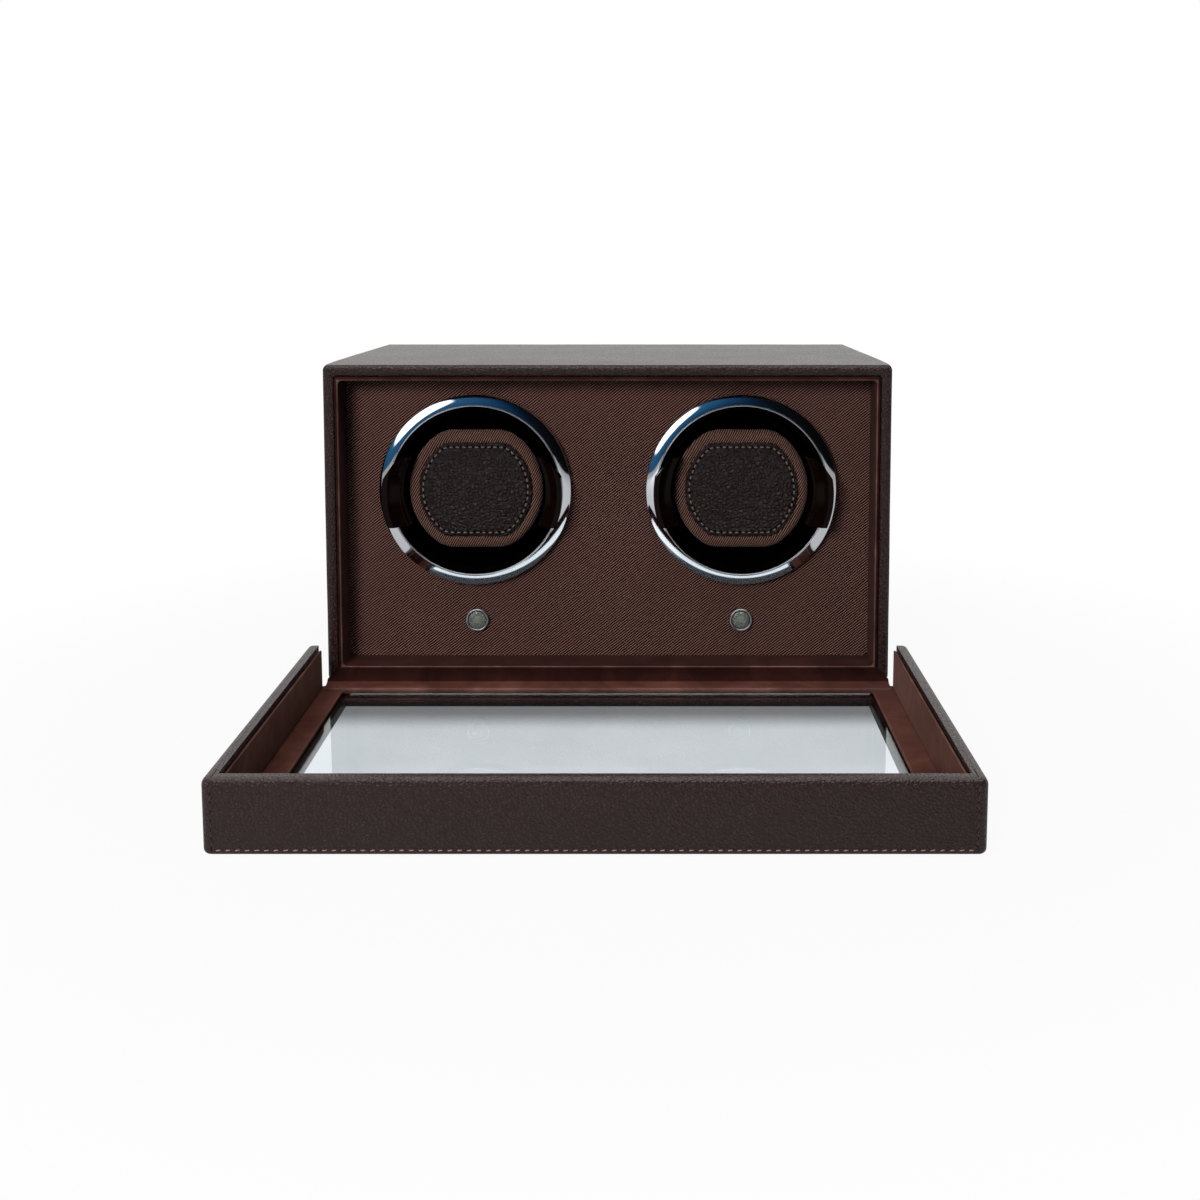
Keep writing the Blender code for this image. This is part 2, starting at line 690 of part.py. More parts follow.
def build_board():
    """The control board on four standoffs, with its two chips on the side that faces the front."""
    back = BACK_PANEL_Y - SEAT_GAP - STANDOFF_LENGTH
    front = back - BOARD_THICKNESS
    low_z = CASE_BOTTOM_Z + BOARD_RISE
    half = BOARD_WIDTH / 2
    board = box("control_board", (-half, front, low_z), (half, back, low_z + BOARD_HEIGHT), BOARD)
    for row, z in enumerate((low_z + STANDOFF_INSET, low_z + BOARD_HEIGHT - STANDOFF_INSET)):
        for column, x in enumerate((STANDOFF_INSET - half, half - STANDOFF_INSET)):
            lap = BOARD_THICKNESS / 2
            join(board, rod(f"standoff_{row}_{column}", STANDOFF_RADIUS, back - lap, back + STANDOFF_LENGTH,
                            (x, 0, z), steps=PIN_STEPS))
    for side, sign in SIDES:
        chip_x = sign * half / 2
        middle_z = low_z + BOARD_HEIGHT / 2
        chip_low = (chip_x - CHIP_SIZE / 2, front - CHIP_THICKNESS, middle_z - CHIP_SIZE / 2)
        chip_high = (chip_x + CHIP_SIZE / 2, back - BOARD_THICKNESS / 2, middle_z + CHIP_SIZE / 2)
        join(board, box(f"{side}_chip", chip_low, chip_high))


def build_module(side, sign):
    centre = empty(f"{side}_module", (sign * MODULE_X, 0, MODULE_Z))
    here = (0, 0, 0)
    seat_y = RECESS_DEPTH - SEAT_GAP
    bezel = [
        (BEZEL_INNER_RADIUS + BEZEL_WIDTH * width_share, seat_y - (BEZEL_RISE - SEAT_GAP) * rise_share)
        for width_share, rise_share in BEZEL_SHARES
    ]
    turned(f"{side}_bezel", bezel, here, CHROME, centre, closed=True)

    bore, outer = HOUSING_BORE_RADIUS, HOUSING_RADIUS
    flange_y = PANEL_BACK_Y + SEAT_GAP
    flange_radius = outer + HOUSING_FLANGE_WIDTH
    flange_back_y = flange_y + HOUSING_FLANGE_THICKNESS
    housing = [
        (bore, HOUSING_BACK_Y),
        (bore, RECESS_DEPTH),
        (outer, RECESS_DEPTH),
        (outer, flange_y),
        (flange_radius, flange_y),
        (flange_radius, flange_back_y),
        (outer, flange_back_y),
        (outer, HOUSING_BACK_Y),
    ]
    turned(f"{side}_well_housing", housing, here, BLACK_PLASTIC, centre, closed=True)

    bush_outer = SPINDLE_RADIUS + RUNNING_GAP + BUSH_WALL
    low_z = -(GEAR_CENTRES + REAR_PLATE_SKIRT)
    plate_top_z = outer + REAR_PLATE_LAP
    outline_solid(
        f"{side}_rear_plate",
        [
            rectangle(-flange_radius, flange_radius, low_z, plate_top_z),
            circle(bush_outer + SEAT_GAP, steps=SMALL_STEPS),
        ],
        REAR_PLATE_Y,
        REAR_PLATE_BACK_Y,
        material=BLACK_PLASTIC,
        parent=centre,
    )
    hub_back_y = REAR_PLATE_Y - 2 * SEAT_GAP
    bush_front_y = hub_back_y + SEAT_GAP
    bush_flange = bush_outer + BUSH_FLANGE_WIDTH
    bush = [
        (SPINDLE_RADIUS + RUNNING_GAP, BUSH_FLANGE_Y + BUSH_FLANGE_THICKNESS),
        (SPINDLE_RADIUS + RUNNING_GAP, bush_front_y),
        (bush_outer, bush_front_y),
        (bush_outer, BUSH_FLANGE_Y),
        (bush_flange, BUSH_FLANGE_Y),
        (bush_flange, BUSH_FLANGE_Y + BUSH_FLANGE_THICKNESS),
    ]
    turned(f"{side}_bush", bush, here, BRONZE, centre, closed=True, steps=SMALL_STEPS)
    build_drive(side, centre, hub_back_y)
    build_motor(side, centre)
    build_cuff(side, centre)


def build_drive(side, centre, hub_back_y):
    """Drum, spindle and gear, which turn together, and the pinion below that drives them."""
    here = (0, 0, 0)
    outer = DRUM_RADIUS
    bore = SPINDLE_RADIUS + RUNNING_GAP
    drum = [
        (bore, hub_back_y),
        (bore, DRUM_FLOOR_Y),
        (DRUM_INNER_RADIUS, DRUM_FLOOR_Y),
        (DRUM_INNER_RADIUS, DRUM_FRONT_Y),
        (outer, DRUM_FRONT_Y),
        (outer, DRUM_BACK_Y),
        (DRUM_HUB_RADIUS, DRUM_BACK_Y),
        (DRUM_HUB_RADIUS, hub_back_y),
    ]
    turned(f"{side}_drum", drum, here, BLACK_GLOSS, centre, closed=True)
    gear_back_y = GEAR_Y + GEAR_THICKNESS
    head_back_y = DRUM_FLOOR_Y - SEAT_GAP
    head_front_y = head_back_y - SPINDLE_HEAD_THICKNESS
    spindle = [
        (0, head_front_y),
        (SPINDLE_HEAD_RADIUS, head_front_y),
        (SPINDLE_HEAD_RADIUS, head_back_y),
        (SPINDLE_RADIUS, head_back_y),
        (SPINDLE_RADIUS, gear_back_y + SPINDLE_TAIL),
        (0, gear_back_y + SPINDLE_TAIL),
    ]
    turned(f"{side}_spindle", spindle, here, STEEL, centre, steps=SMALL_STEPS)
    down = -math.pi / 2
    outline_solid(
        f"{side}_drive_gear",
        [gear_outline(DRUM_GEAR_TEETH, down), circle(bore, steps=SMALL_STEPS)],
        GEAR_Y,
        gear_back_y,
        material=NYLON,
        parent=centre,
    )
    half_tooth_turn = math.pi / PINION_TEETH
    shaft_centre = empty(f"{side}_pinion_axis", (0, 0, -GEAR_CENTRES), centre)
    pinion = as_mesh(outline_solid(
        f"{side}_pinion",
        [gear_outline(PINION_TEETH, half_tooth_turn - down)],
        GEAR_Y,
        gear_back_y,
        material=NYLON,
        parent=shaft_centre,
    ))
    shaft_end_y = MOTOR_Y - MOTOR_BOSS_LENGTH + SHAFT_SOCKET - SHAFT_END_GAP
    shaft = rod(f"{side}_pinion_shaft", MOTOR_SHAFT_RADIUS, GEAR_Y + GEAR_THICKNESS / 2, shaft_end_y,
                here, parent=shaft_centre, steps=PIN_STEPS)
    join(pinion, shaft)


def build_motor(side, centre):
    here = (0, 0, -GEAR_CENTRES)
    leg_y = REAR_PLATE_BACK_Y + SEAT_GAP
    plate_back_y = leg_y + BRACKET_REACH
    half, tall = BRACKET_SPAN / 2, BRACKET_HEIGHT / 2
    axis_z = -GEAR_CENTRES
    plate_front_y = plate_back_y - BRACKET_PLATE
    bracket = box(f"{side}_motor_bracket", (-half, leg_y, axis_z - tall), (half, plate_back_y, axis_z + tall),
                  STEEL, centre)
    inside = box(f"{side}_bracket_inside", (BRACKET_LEG - half, leg_y - OVERRUN, axis_z - tall - OVERRUN),
                 (half - BRACKET_LEG, plate_front_y, axis_z + tall + OVERRUN), parent=centre)
    boss_hole = rod(f"{side}_bracket_hole", MOTOR_BOSS_RADIUS + HOLE_EASE, plate_front_y - OVERRUN,
                    plate_back_y + OVERRUN, here, parent=centre)
    cut(bracket, inside, boss_hole)
    boss_front_y = MOTOR_Y - MOTOR_BOSS_LENGTH
    socket_radius = MOTOR_SHAFT_RADIUS + HOLE_EASE
    motor = [
        (0, boss_front_y + SHAFT_SOCKET),
        (socket_radius, boss_front_y + SHAFT_SOCKET),
        (socket_radius, boss_front_y),
        (MOTOR_BOSS_RADIUS, boss_front_y),
        (MOTOR_BOSS_RADIUS, MOTOR_Y),
        (MOTOR_RADIUS, MOTOR_Y),
        (MOTOR_RADIUS, MOTOR_Y + MOTOR_LENGTH),
        (0, MOTOR_Y + MOTOR_LENGTH),
    ]
    turned(f"{side}_motor", motor, here, STEEL, centre, steps=SMALL_STEPS)


def build_cuff(side, centre):
    """The cuff that slides out of the drum, with its cushion and bare patch."""
    arm_outer = DRUM_INNER_RADIUS - SEAT_GAP
    arm_inner = CUFF_INNER_RADIUS + CUFF_ARM_EASE
    arm_low, arm_high = CUFF_ARM_EASE - WING_BOTTOM, WING_OUTER_TOP
    cushion_back_y = CUSHION_FRONT_Y + CUSHION_DEPTH
    disc_y = cushion_back_y + SEAT_GAP
    disc_back_y = disc_y + CUFF_DISC_THICKNESS
    cuff = as_mesh(outline_solid(
        f"{side}_cuff", [circle(CUFF_DISC_RADIUS)], disc_y, disc_back_y, material=DARK_GLOSS, parent=centre))
    arm_outline = arc(arm_outer, arm_low, arm_high) + arc(arm_inner, arm_low, arm_high)[::-1]
    wing_inner = arc(CUFF_INNER_RADIUS, -WING_BOTTOM, WING_TOP)
    wing_outline = arc(WING_RADIUS, -WING_BOTTOM, WING_OUTER_TOP) + wing_inner[::-1]
    wing_back_y = WING_FRONT_Y + WING_THICKNESS
    arm_end_y = disc_back_y - CUFF_DISC_THICKNESS / 4
    for name, sign in SIDES:
        arm = outline_solid(f"{side}_cuff_{name}_arm", [[(sign * x, z) for x, z in arm_outline]],
                            wing_back_y - ARM_LAP, arm_end_y, parent=centre)
        wing = outline_solid(f"{side}_cuff_{name}_wing", [[(sign * x, z) for x, z in wing_outline]],
                             WING_FRONT_Y, wing_back_y, parent=centre)
        join(cuff, as_mesh(arm), as_mesh(wing))
    land_radius = WING_RADIUS - WING_LAND
    slope = (land_radius - CUFF_INNER_RADIUS) / SCOOP_DEPTH
    scoop_end = (CUFF_INNER_RADIUS - SEAT_GAP, WING_FRONT_Y + SCOOP_DEPTH + SEAT_GAP / slope)
    scoop = turned(f"{side}_finger_scoop", [(0, WING_FRONT_Y - OVERRUN),
                   (land_radius + OVERRUN * slope, WING_FRONT_Y - OVERRUN), scoop_end, (0, scoop_end[1])],
                   (0, 0, 0), parent=centre)
    cut(cuff, scoop)
    soft_solid(f"{side}_cushion", CUSHION_RADIUS, CUSHION_FLAT, CUSHION_DEPTH, CUSHION_FRONT_Y,
               CUSHION_CROWN, CUSHION_RING_SHARES, CUSHION_TWILL, centre)
    patch_front_y = CUSHION_FRONT_Y - CUSHION_CROWN - SEAT_GAP - PATCH_THICKNESS
    soft_solid(f"{side}_patch", PATCH_RADIUS, PATCH_FLAT, PATCH_THICKNESS, patch_front_y,
               0, PATCH_RING_SHARES, LEATHER, centre)


def build_button(side, sign):
    centre = empty(f"{side}_button_axis", (sign * MODULE_X, 0, BUTTON_Z))
    here = (0, 0, 0)
    seat_y = RECESS_DEPTH - SEAT_GAP
    front_y = RECESS_DEPTH - BUTTON_RIM_RISE
    barrel_y = seat_y + BUTTON_BARREL_LENGTH
    chamfer = BUTTON_BARREL_RADIUS - BUTTON_BORE_RADIUS
    rim = [
        (BUTTON_BORE_RADIUS, barrel_y),
        (BUTTON_BORE_RADIUS, front_y + chamfer),
        (BUTTON_BARREL_RADIUS, front_y),
        (BUTTON_RIM_RADIUS - chamfer, front_y + chamfer / 2),
        (BUTTON_RIM_RADIUS, front_y + BUTTON_RIM_RISE / 2),
        (BUTTON_RIM_RADIUS, seat_y),
        (BUTTON_BARREL_RADIUS, seat_y),
        (BUTTON_BARREL_RADIUS, barrel_y),
    ]
    turned(f"{side}_button_rim", rim, here, CHROME, centre, closed=True, steps=SMALL_STEPS)
    lens_y = front_y - LENS_PROUD
    stem_end_y = PANEL_BACK_Y + SEAT_GAP + SWITCH_FLOOR
    crown = [(LENS_RADIUS * reach, lens_y + LENS_CROWN * fall) for reach, fall in LENS_CROWN_SHARES]
    lens = crown + [
        (LENS_RADIUS, lens_y + LENS_LENGTH),
        (LENS_STEM_RADIUS, lens_y + LENS_LENGTH),
        (LENS_STEM_RADIUS, stem_end_y),
        (0, stem_end_y),
    ]
    turned(f"{side}_button_lens", lens, here, CLEAR, centre, steps=SMALL_STEPS)
    switch_y = PANEL_BACK_Y + SEAT_GAP
    floor_y = stem_end_y + BUTTON_TRAVEL + SEAT_GAP
    bore = BUTTON_BARREL_RADIUS + SEAT_GAP
    switch = [
        (0, floor_y),
        (bore, floor_y),
        (bore, switch_y),
        (SWITCH_RADIUS, switch_y),
        (SWITCH_RADIUS, floor_y + SWITCH_FLOOR),
        (0, floor_y + SWITCH_FLOOR),
    ]
    turned(f"{side}_switch", switch, here, BLACK_PLASTIC, centre, steps=SMALL_STEPS)


def knuckles(name, numbers, parent):
    """Tubes along the hinge axis for the given knuckle numbers, in the frame of the axis."""
    pitch = HINGE_LENGTH / KNUCKLE_COUNT
    for number in numbers:
        start = number * pitch - HINGE_LENGTH / 2 + HINGE_GAP / 2
        tube = rod(f"{name}_knuckle_{number}", KNUCKLE_RADIUS, start, start + pitch - HINGE_GAP, (0, 0, 0),
                   parent=parent, steps=SMALL_STEPS)
        tube.rotation_euler = (math.pi / 2, 0, math.pi / 2)
        yield tube, start, start + pitch - HINGE_GAP


def build_leaf(name, numbers, parent, plate_low, plate_high, tab_low, tab_high):
    """A leaf: its plate, and a tab and a knuckle at each of its numbers, bored for the pin.

    The corners of plate and tab are given in Y and Z from the hinge axis.
    """
    half = HINGE_LENGTH / 2
    leaf = box(name, (-half, *plate_low), (half, *plate_high), STEEL, parent)
    for tube, start, end in knuckles(name, numbers, parent):
        tab = box(f"{tube.name}_tab", (start, *tab_low), (end, *tab_high), parent=parent)
        join(leaf, tab, tube)
    bore = rod(f"{name}_bore", PIN_RADIUS + PIN_GAP, -half - OVERRUN, half + OVERRUN, (0, 0, 0),
               parent=parent, steps=PIN_STEPS)
    bore.rotation_euler = (math.pi / 2, 0, math.pi / 2)
    cut(leaf, bore)


def build_hinge(case_axis, cover_axis):
    lap = KNUCKLE_RADIUS - LEAF_THICKNESS / 2
    leaf_back = CASE_LEAF_Y + LEAF_THICKNESS
    build_leaf(
        "case_hinge_leaf",
        range(0, KNUCKLE_COUNT, 2),
        case_axis,
        (CASE_LEAF_Y, LEAF_NOTCH),
        (leaf_back, CASE_LEAF_HEIGHT),
        (CASE_LEAF_Y, lap / 2),
        (leaf_back, LEAF_NOTCH + LEAF_THICKNESS),
    )
    leaf_low = MAT_TOP + SEAT_GAP / 2
    leaf_top = leaf_low + COVER_LEAF_THICKNESS
    build_leaf(
        "cover_hinge_leaf",
        range(1, KNUCKLE_COUNT, 2),
        cover_axis,
        (-COVER_LEAF_LENGTH, leaf_low),
        (-LEAF_NOTCH, leaf_top),
        (-LEAF_NOTCH - LEAF_THICKNESS, leaf_low),
        (-lap / 4, leaf_top),
    )
    half = HINGE_LENGTH / 2
    pin = rod("hinge_pin", PIN_RADIUS, -half, half, (0, 0, 0), STEEL, case_axis, steps=PIN_STEPS)
    pin.rotation_euler = (math.pi / 2, 0, math.pi / 2)
    cloth_x = BAY_HALF_WIDTH - SEAT_GAP
    cloth_back = CASE_LEAF_Y - CLOTH_GAP
    box("hinge_cloth_case", (-cloth_x, cloth_back - CLOTH_THICKNESS, CASE_CLOTH_START),
        (cloth_x, cloth_back, CASE_LEAF_HEIGHT), SUEDE, case_axis)
    cloth_low = leaf_top + CLOTH_GAP
    box("hinge_cloth_cover", (-cloth_x, -COVER_CLOTH_END, cloth_low),
        (cloth_x, -LEAF_NOTCH, cloth_low + CLOTH_THICKNESS), SUEDE, cover_axis)


def build_cover(axis):
    frame = box(
        "cover_frame",
        (-COVER_HALF_WIDTH, -COVER_LENGTH, -COVER_UNDER),
        (COVER_HALF_WIDTH, -COVER_HEEL, COVER_RIM),
        LEATHER,
        axis,
        edge=COVER_EDGE_RADIUS,
    )
    tray = box("cover_tray", (-TRAY_HALF_WIDTH, -TRAY_LENGTH, DECK),
               (TRAY_HALF_WIDTH, OVERRUN, COVER_RIM + OVERRUN), parent=axis)
    heel = box("cover_wall_heel", (-COVER_HALF_WIDTH - OVERRUN, -WALL_HEEL, DECK),
               (COVER_HALF_WIDTH + OVERRUN, OVERRUN, COVER_RIM + OVERRUN), parent=axis)
    reveal_x = WINDOW_HALF_WIDTH - REVEAL_LAP
    window = box("cover_window", (-reveal_x, REVEAL_LAP - WINDOW_END, -COVER_UNDER - OVERRUN),
                 (reveal_x, -WINDOW_START - REVEAL_LAP, DECK + OVERRUN), parent=axis)
    glass_x = WINDOW_HALF_WIDTH + GLASS_LAP
    glass_low, glass_high = -WINDOW_END - GLASS_LAP, GLASS_LAP - WINDOW_START
    glass_top = DECK - SEAT_GAP
    glass_bottom = glass_top - GLASS_THICKNESS
    rebate = box("glass_rebate", (-glass_x - SEAT_GAP, glass_low - SEAT_GAP, glass_bottom - SEAT_GAP),
                 (glass_x + SEAT_GAP, glass_high + SEAT_GAP, DECK + OVERRUN), parent=axis)
    pocket_depth = MAGNET_THICKNESS + SEAT_GAP
    pocket = rod("cover_magnet_pocket", MAGNET_RADIUS + HOLE_EASE, -pocket_depth, OVERRUN,
                 (0, -TRAY_LENGTH, MAGNET_Y), parent=axis)
    cut(frame, tray, heel, window, rebate, pocket)
    magnet_place = (0, -TRAY_LENGTH, MAGNET_Y)
    magnet = rod("cover_magnet", MAGNET_RADIUS, -MAGNET_THICKNESS, 0, magnet_place, STEEL, axis)
    smooth(magnet)
    box("cover_glass", (-glass_x, glass_low, glass_bottom), (glass_x, glass_high, glass_top), GLASS, axis)
    mat_x = TRAY_HALF_WIDTH - SEAT_GAP
    outline_solid(
        "cover_mat",
        [
            rectangle(-mat_x, mat_x, SEAT_GAP - TRAY_LENGTH, -COVER_HEEL),
            rectangle(-WINDOW_HALF_WIDTH, WINDOW_HALF_WIDTH, -WINDOW_END, -WINDOW_START),
        ],
        MAT_BOTTOM,
        MAT_TOP,
        material=SUEDE,
        parent=axis,
        flat=True,
    )
    lining_low, lining_high = MAT_TOP + SEAT_GAP, COVER_RIM - COVER_LINING_DROP
    front_u = TRAY_LENGTH - SEAT_GAP
    for side, sign in SIDES:
        near, far = sorted((sign * LINING_FACE_X, sign * (LINING_FACE_X + COVER_LINING)))
        box(f"cover_lining_{side}", (near, -front_u, lining_low), (far, -WALL_HEEL, lining_high), SUEDE, axis)
    lining_x = LINING_FACE_X - SEAT_GAP
    box("cover_lining_front", (-lining_x, -front_u, lining_low), (lining_x, -LINING_FACE_U, lining_high),
        SUEDE, axis)


clear_scene()
PIECES = new_collection("watch_winder")
CUTTERS = new_collection("cutters")

LEATHER = surface("pebbled dark brown leather", (0.036, 0.025, 0.023), 0.5)
SUEDE = surface("brown suede lining", (0.085, 0.030, 0.023), 0.9)
TWILL = surface("brown twill cloth", (0.075, 0.038, 0.030), 0.85)
CUSHION_TWILL = surface("light brown twill cloth", (0.14, 0.072, 0.055), 0.85)
CHROME = surface("chrome plate", (0.75, 0.77, 0.80), 0.08, 1.0)
BLACK_GLOSS = surface("black glossy acrylic", (0.006, 0.006, 0.006), 0.12)
DARK_GLOSS = surface("dark brown lacquer", (0.018, 0.008, 0.007), 0.15)
BLACK_PLASTIC = surface("moulded black plastic", (0.012, 0.012, 0.012), 0.5)
BLACK_BOARD = surface("black painted board", (0.015, 0.014, 0.013), 0.7)
CLEAR = surface("clear acrylic", (0.75, 0.80, 0.80), 0.05, alpha=0.5)
GLASS = surface("window glass", (0.85, 0.90, 0.92), 0.03, alpha=0.3)
STEEL = surface("plated steel", (0.45, 0.45, 0.46), 0.35, 1.0)
BRONZE = surface("sintered bronze", (0.45, 0.27, 0.12), 0.45, 1.0)
NYLON = surface("natural nylon", (0.72, 0.70, 0.62), 0.5)
BOARD = surface("green circuit board", (0.02, 0.12, 0.05), 0.5)
RUBBER = surface("black rubber", (0.014, 0.014, 0.014), 0.8)

build_case()
build_feet()
build_front()
build_back()
for side_name, side_sign in SIDES:
    build_module(side_name, side_sign)
    build_button(side_name, side_sign)
hinge_axis = empty("case_hinge_axis", (0, 0, HINGE_Z))
cover_frame_axis = empty("cover_hinge_axis", (0, 0, HINGE_Z), turn=COVER_TILT)
build_hinge(hinge_axis, cover_frame_axis)
build_cover(cover_frame_axis)
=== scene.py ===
# Looks of a winder for two watches: the leather, cloth, chrome and glass laid over its solid frame.
import json
import math

import bmesh
import bpy
import numpy as np
from mathutils import Matrix, Vector, noise
from mathutils.bvhtree import BVHTree
from mathutils.kdtree import KDTree


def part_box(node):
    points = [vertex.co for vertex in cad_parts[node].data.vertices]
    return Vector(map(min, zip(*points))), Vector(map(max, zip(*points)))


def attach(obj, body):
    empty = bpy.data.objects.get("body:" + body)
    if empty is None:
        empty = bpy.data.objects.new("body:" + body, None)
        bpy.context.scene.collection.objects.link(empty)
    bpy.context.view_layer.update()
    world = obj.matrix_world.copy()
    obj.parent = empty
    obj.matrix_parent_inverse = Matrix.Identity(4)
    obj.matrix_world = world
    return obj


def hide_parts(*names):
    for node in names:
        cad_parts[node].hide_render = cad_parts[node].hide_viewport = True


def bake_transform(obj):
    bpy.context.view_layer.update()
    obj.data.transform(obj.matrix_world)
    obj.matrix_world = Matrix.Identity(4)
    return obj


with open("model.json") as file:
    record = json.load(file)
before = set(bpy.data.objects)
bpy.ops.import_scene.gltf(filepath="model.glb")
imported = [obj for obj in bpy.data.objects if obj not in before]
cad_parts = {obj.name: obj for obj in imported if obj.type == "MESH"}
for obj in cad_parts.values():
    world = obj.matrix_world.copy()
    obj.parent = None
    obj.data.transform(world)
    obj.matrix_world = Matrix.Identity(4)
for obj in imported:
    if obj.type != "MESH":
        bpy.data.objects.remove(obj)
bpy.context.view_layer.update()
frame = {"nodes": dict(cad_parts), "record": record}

mm = 0.001
sides = {"left": -1, "right": 1}


# Small tools for nodes

def linear(hexColour):
    # sRGB hex to the linear values that shaders take
    channels = [int(hexColour[i:i + 2], 16) / 255 for i in (1, 3, 5)]
    return tuple(c / 12.92 if c < 0.04045 else ((c + 0.055) / 1.055) ** 2.4 for c in channels) + (1.0,)


def setSockets(node, sockets):
    # A socket takes a value, another socket, or a node, which stands for its first output
    for key, value in sockets.items():
        source = value.outputs[0] if isinstance(value, bpy.types.Node) else value
        if isinstance(source, bpy.types.NodeSocket):
            node.id_data.links.new(source, node.inputs[key])
        else:
            node.inputs[key].default_value = source


def addNode(tree, kind, sockets=None, stops=(), **settings):
    # Stops are the places and colours of a colour ramp
    node = tree.nodes.new("ShaderNode" + kind)
    for key, value in settings.items():
        setattr(node, key, value)
    if stops:
        elements = node.color_ramp.elements
        while len(elements) < len(stops):
            elements.new(0.5)
        for element, (position, colour) in zip(elements, stops):
            element.position, element.color = position, linear(colour)
    setSockets(node, sockets or {})
    return node


def newMaterial(name, **values):
    material = bpy.data.materials.new(name)
    material.use_nodes = True
    tree = material.node_tree
    shader = tree.nodes["Principled BSDF"]
    setSockets(shader, {key.replace("_", " "): value for key, value in values.items()})
    place = addNode(tree, "TexCoord").outputs["Object"]
    return material, tree, shader, place


# Materials

leatherLook = {
    "groove": "#1C0F0D",
    "face": "#261613",
    "rubbed": "#301E1A",
    "pebble": 1.6 * mm,
    "warp": 0.35,  # how far the pebbles stray from even cells
    "pore": 0.3 * mm,
    "pull": 34 * mm,  # patches in which the hide was pulled tighter and rubbed paler
    "relief": 0.22 * mm,
    "roughness": 0.3,
    "specular": 0.28,
    "coat": 0.28,
}


def pebbledLeather(name, look):
    # Pigmented cowhide, embossed with a pebble grain: matt in the creases, a low satin on the crowns
    material, tree, shader, place = newMaterial(
        name, Roughness=look["roughness"], IOR=1.5, Specular_IOR_Level=look["specular"],
        Coat_Weight=look["coat"], Coat_Roughness=0.2)
    drift = addNode(tree, "TexNoise", {"Vector": place, "Scale": 0.6 / look["pebble"], "Detail": 2.0})
    warped = addNode(tree, "MixRGB", {"Fac": look["warp"] * look["pebble"], "Color1": place,
                                      "Color2": drift.outputs["Color"]}, blend_type="LINEAR_LIGHT")
    cells = addNode(tree, "TexVoronoi", {"Vector": warped, "Scale": 1 / look["pebble"], "Randomness": 0.95},
                    feature="DISTANCE_TO_EDGE")
    crown = addNode(tree, "MapRange", {"Value": cells, "From Min": 0.0, "From Max": 0.34},
                    interpolation_type="SMOOTHERSTEP")
    pores = addNode(tree, "TexNoise", {"Vector": place, "Scale": 1 / look["pore"], "Detail": 3.0})
    pull = addNode(tree, "TexNoise", {"Vector": place, "Scale": 1 / look["pull"], "Detail": 3.0})
    height = addNode(tree, "Math", {0: pores, 1: 0.22, 2: crown}, operation="MULTIPLY_ADD")
    worn = addNode(tree, "Math", {0: crown, 1: pull}, operation="MULTIPLY")
    colour = addNode(tree, "ValToRGB", {"Fac": worn}, [
        (0.0, look["groove"]), (0.3, look["face"]), (0.62, look["face"]), (0.95, look["rubbed"])])
    gloss = addNode(tree, "MapRange", {"Value": worn, "From Min": 0.0, "From Max": 0.7,
                                       "To Min": look["roughness"] + 0.2, "To Max": look["roughness"]})
    bump = addNode(tree, "Bump", {"Height": height, "Distance": look["relief"]})
    setSockets(shader, {"Base Color": colour, "Roughness": gloss, "Normal": bump, "Coat Normal": bump})
    return material


panelTwillLook = {
    "groove": "#0A0303",
    "rib": "#2A1512",
    "fleck": "#8E6A60",
    "specular": 0.2,
    "sheen": 0.06,
    "ribAngle": 38,
    "ribPitch": 1.15 * mm,  # the cloth's own ribs are 1 mm apart; drawn a little coarser so that they show
    "threadAngle": -62,
    "threadPitch": 0.8 * mm,
    "wander": 3.5 * mm,
    "yarn": 0.5 * mm,
    "relief": 0.16 * mm,
}
cushionTwillLook = {
    **panelTwillLook,
    "groove": "#0E0605",
    "rib": "#2F1C17",
    "fleck": "#947162",
    "ribAngle": 60,
    "ribPitch": 1.05 * mm,
    "threadAngle": -35,
    "threadPitch": 0.75 * mm,
}


def twillCloth(name, look):
    # Cotton and polyester twill: raised slanting ribs of yarn, each broken by the threads that cross it
    material, tree, shader, place = newMaterial(
        name, Roughness=0.78, IOR=1.45, Specular_IOR_Level=look["specular"], Sheen_Weight=look["sheen"],
        Sheen_Roughness=0.5)
    wander = addNode(tree, "TexNoise", {"Vector": place, "Scale": 1 / look["wander"], "Detail": 2.0})
    heights = []
    for threads in ("rib", "thread"):
        slant = math.radians(look[threads + "Angle"])
        across = Vector((math.sin(slant), 0, -math.cos(slant))) * (math.tau / look[threads + "Pitch"])
        phase = addNode(tree, "VectorMath", {0: place, 1: across}, operation="DOT_PRODUCT").outputs["Value"]
        shifted = addNode(tree, "Math", {0: wander, 1: 1.6, 2: phase}, operation="MULTIPLY_ADD")
        wave = addNode(tree, "Math", {0: shifted}, operation="SINE")
        heights.append(addNode(tree, "MapRange", {"Value": wave, "From Min": -0.5, "From Max": 1.0},
                               interpolation_type="SMOOTHSTEP"))
    crossed = addNode(tree, "MapRange", {"Value": heights[1], "To Min": 0.62, "To Max": 1.0})
    weave = addNode(tree, "Math", {0: heights[0], 1: crossed}, operation="MULTIPLY")
    yarn = addNode(tree, "TexNoise", {"Vector": place, "Scale": 1 / look["yarn"], "Detail": 2.0})
    tone = addNode(tree, "Math", {0: yarn, 1: 0.4, 2: weave}, operation="MULTIPLY_ADD")
    colour = addNode(tree, "ValToRGB", {"Fac": tone}, [
        (0.2, look["groove"]), (0.7, look["rib"]), (1.0, look["fleck"])])
    bump = addNode(tree, "Bump", {"Height": tone, "Distance": look["relief"]})
    setSockets(shader, {"Base Color": colour, "Normal": bump})
    return material


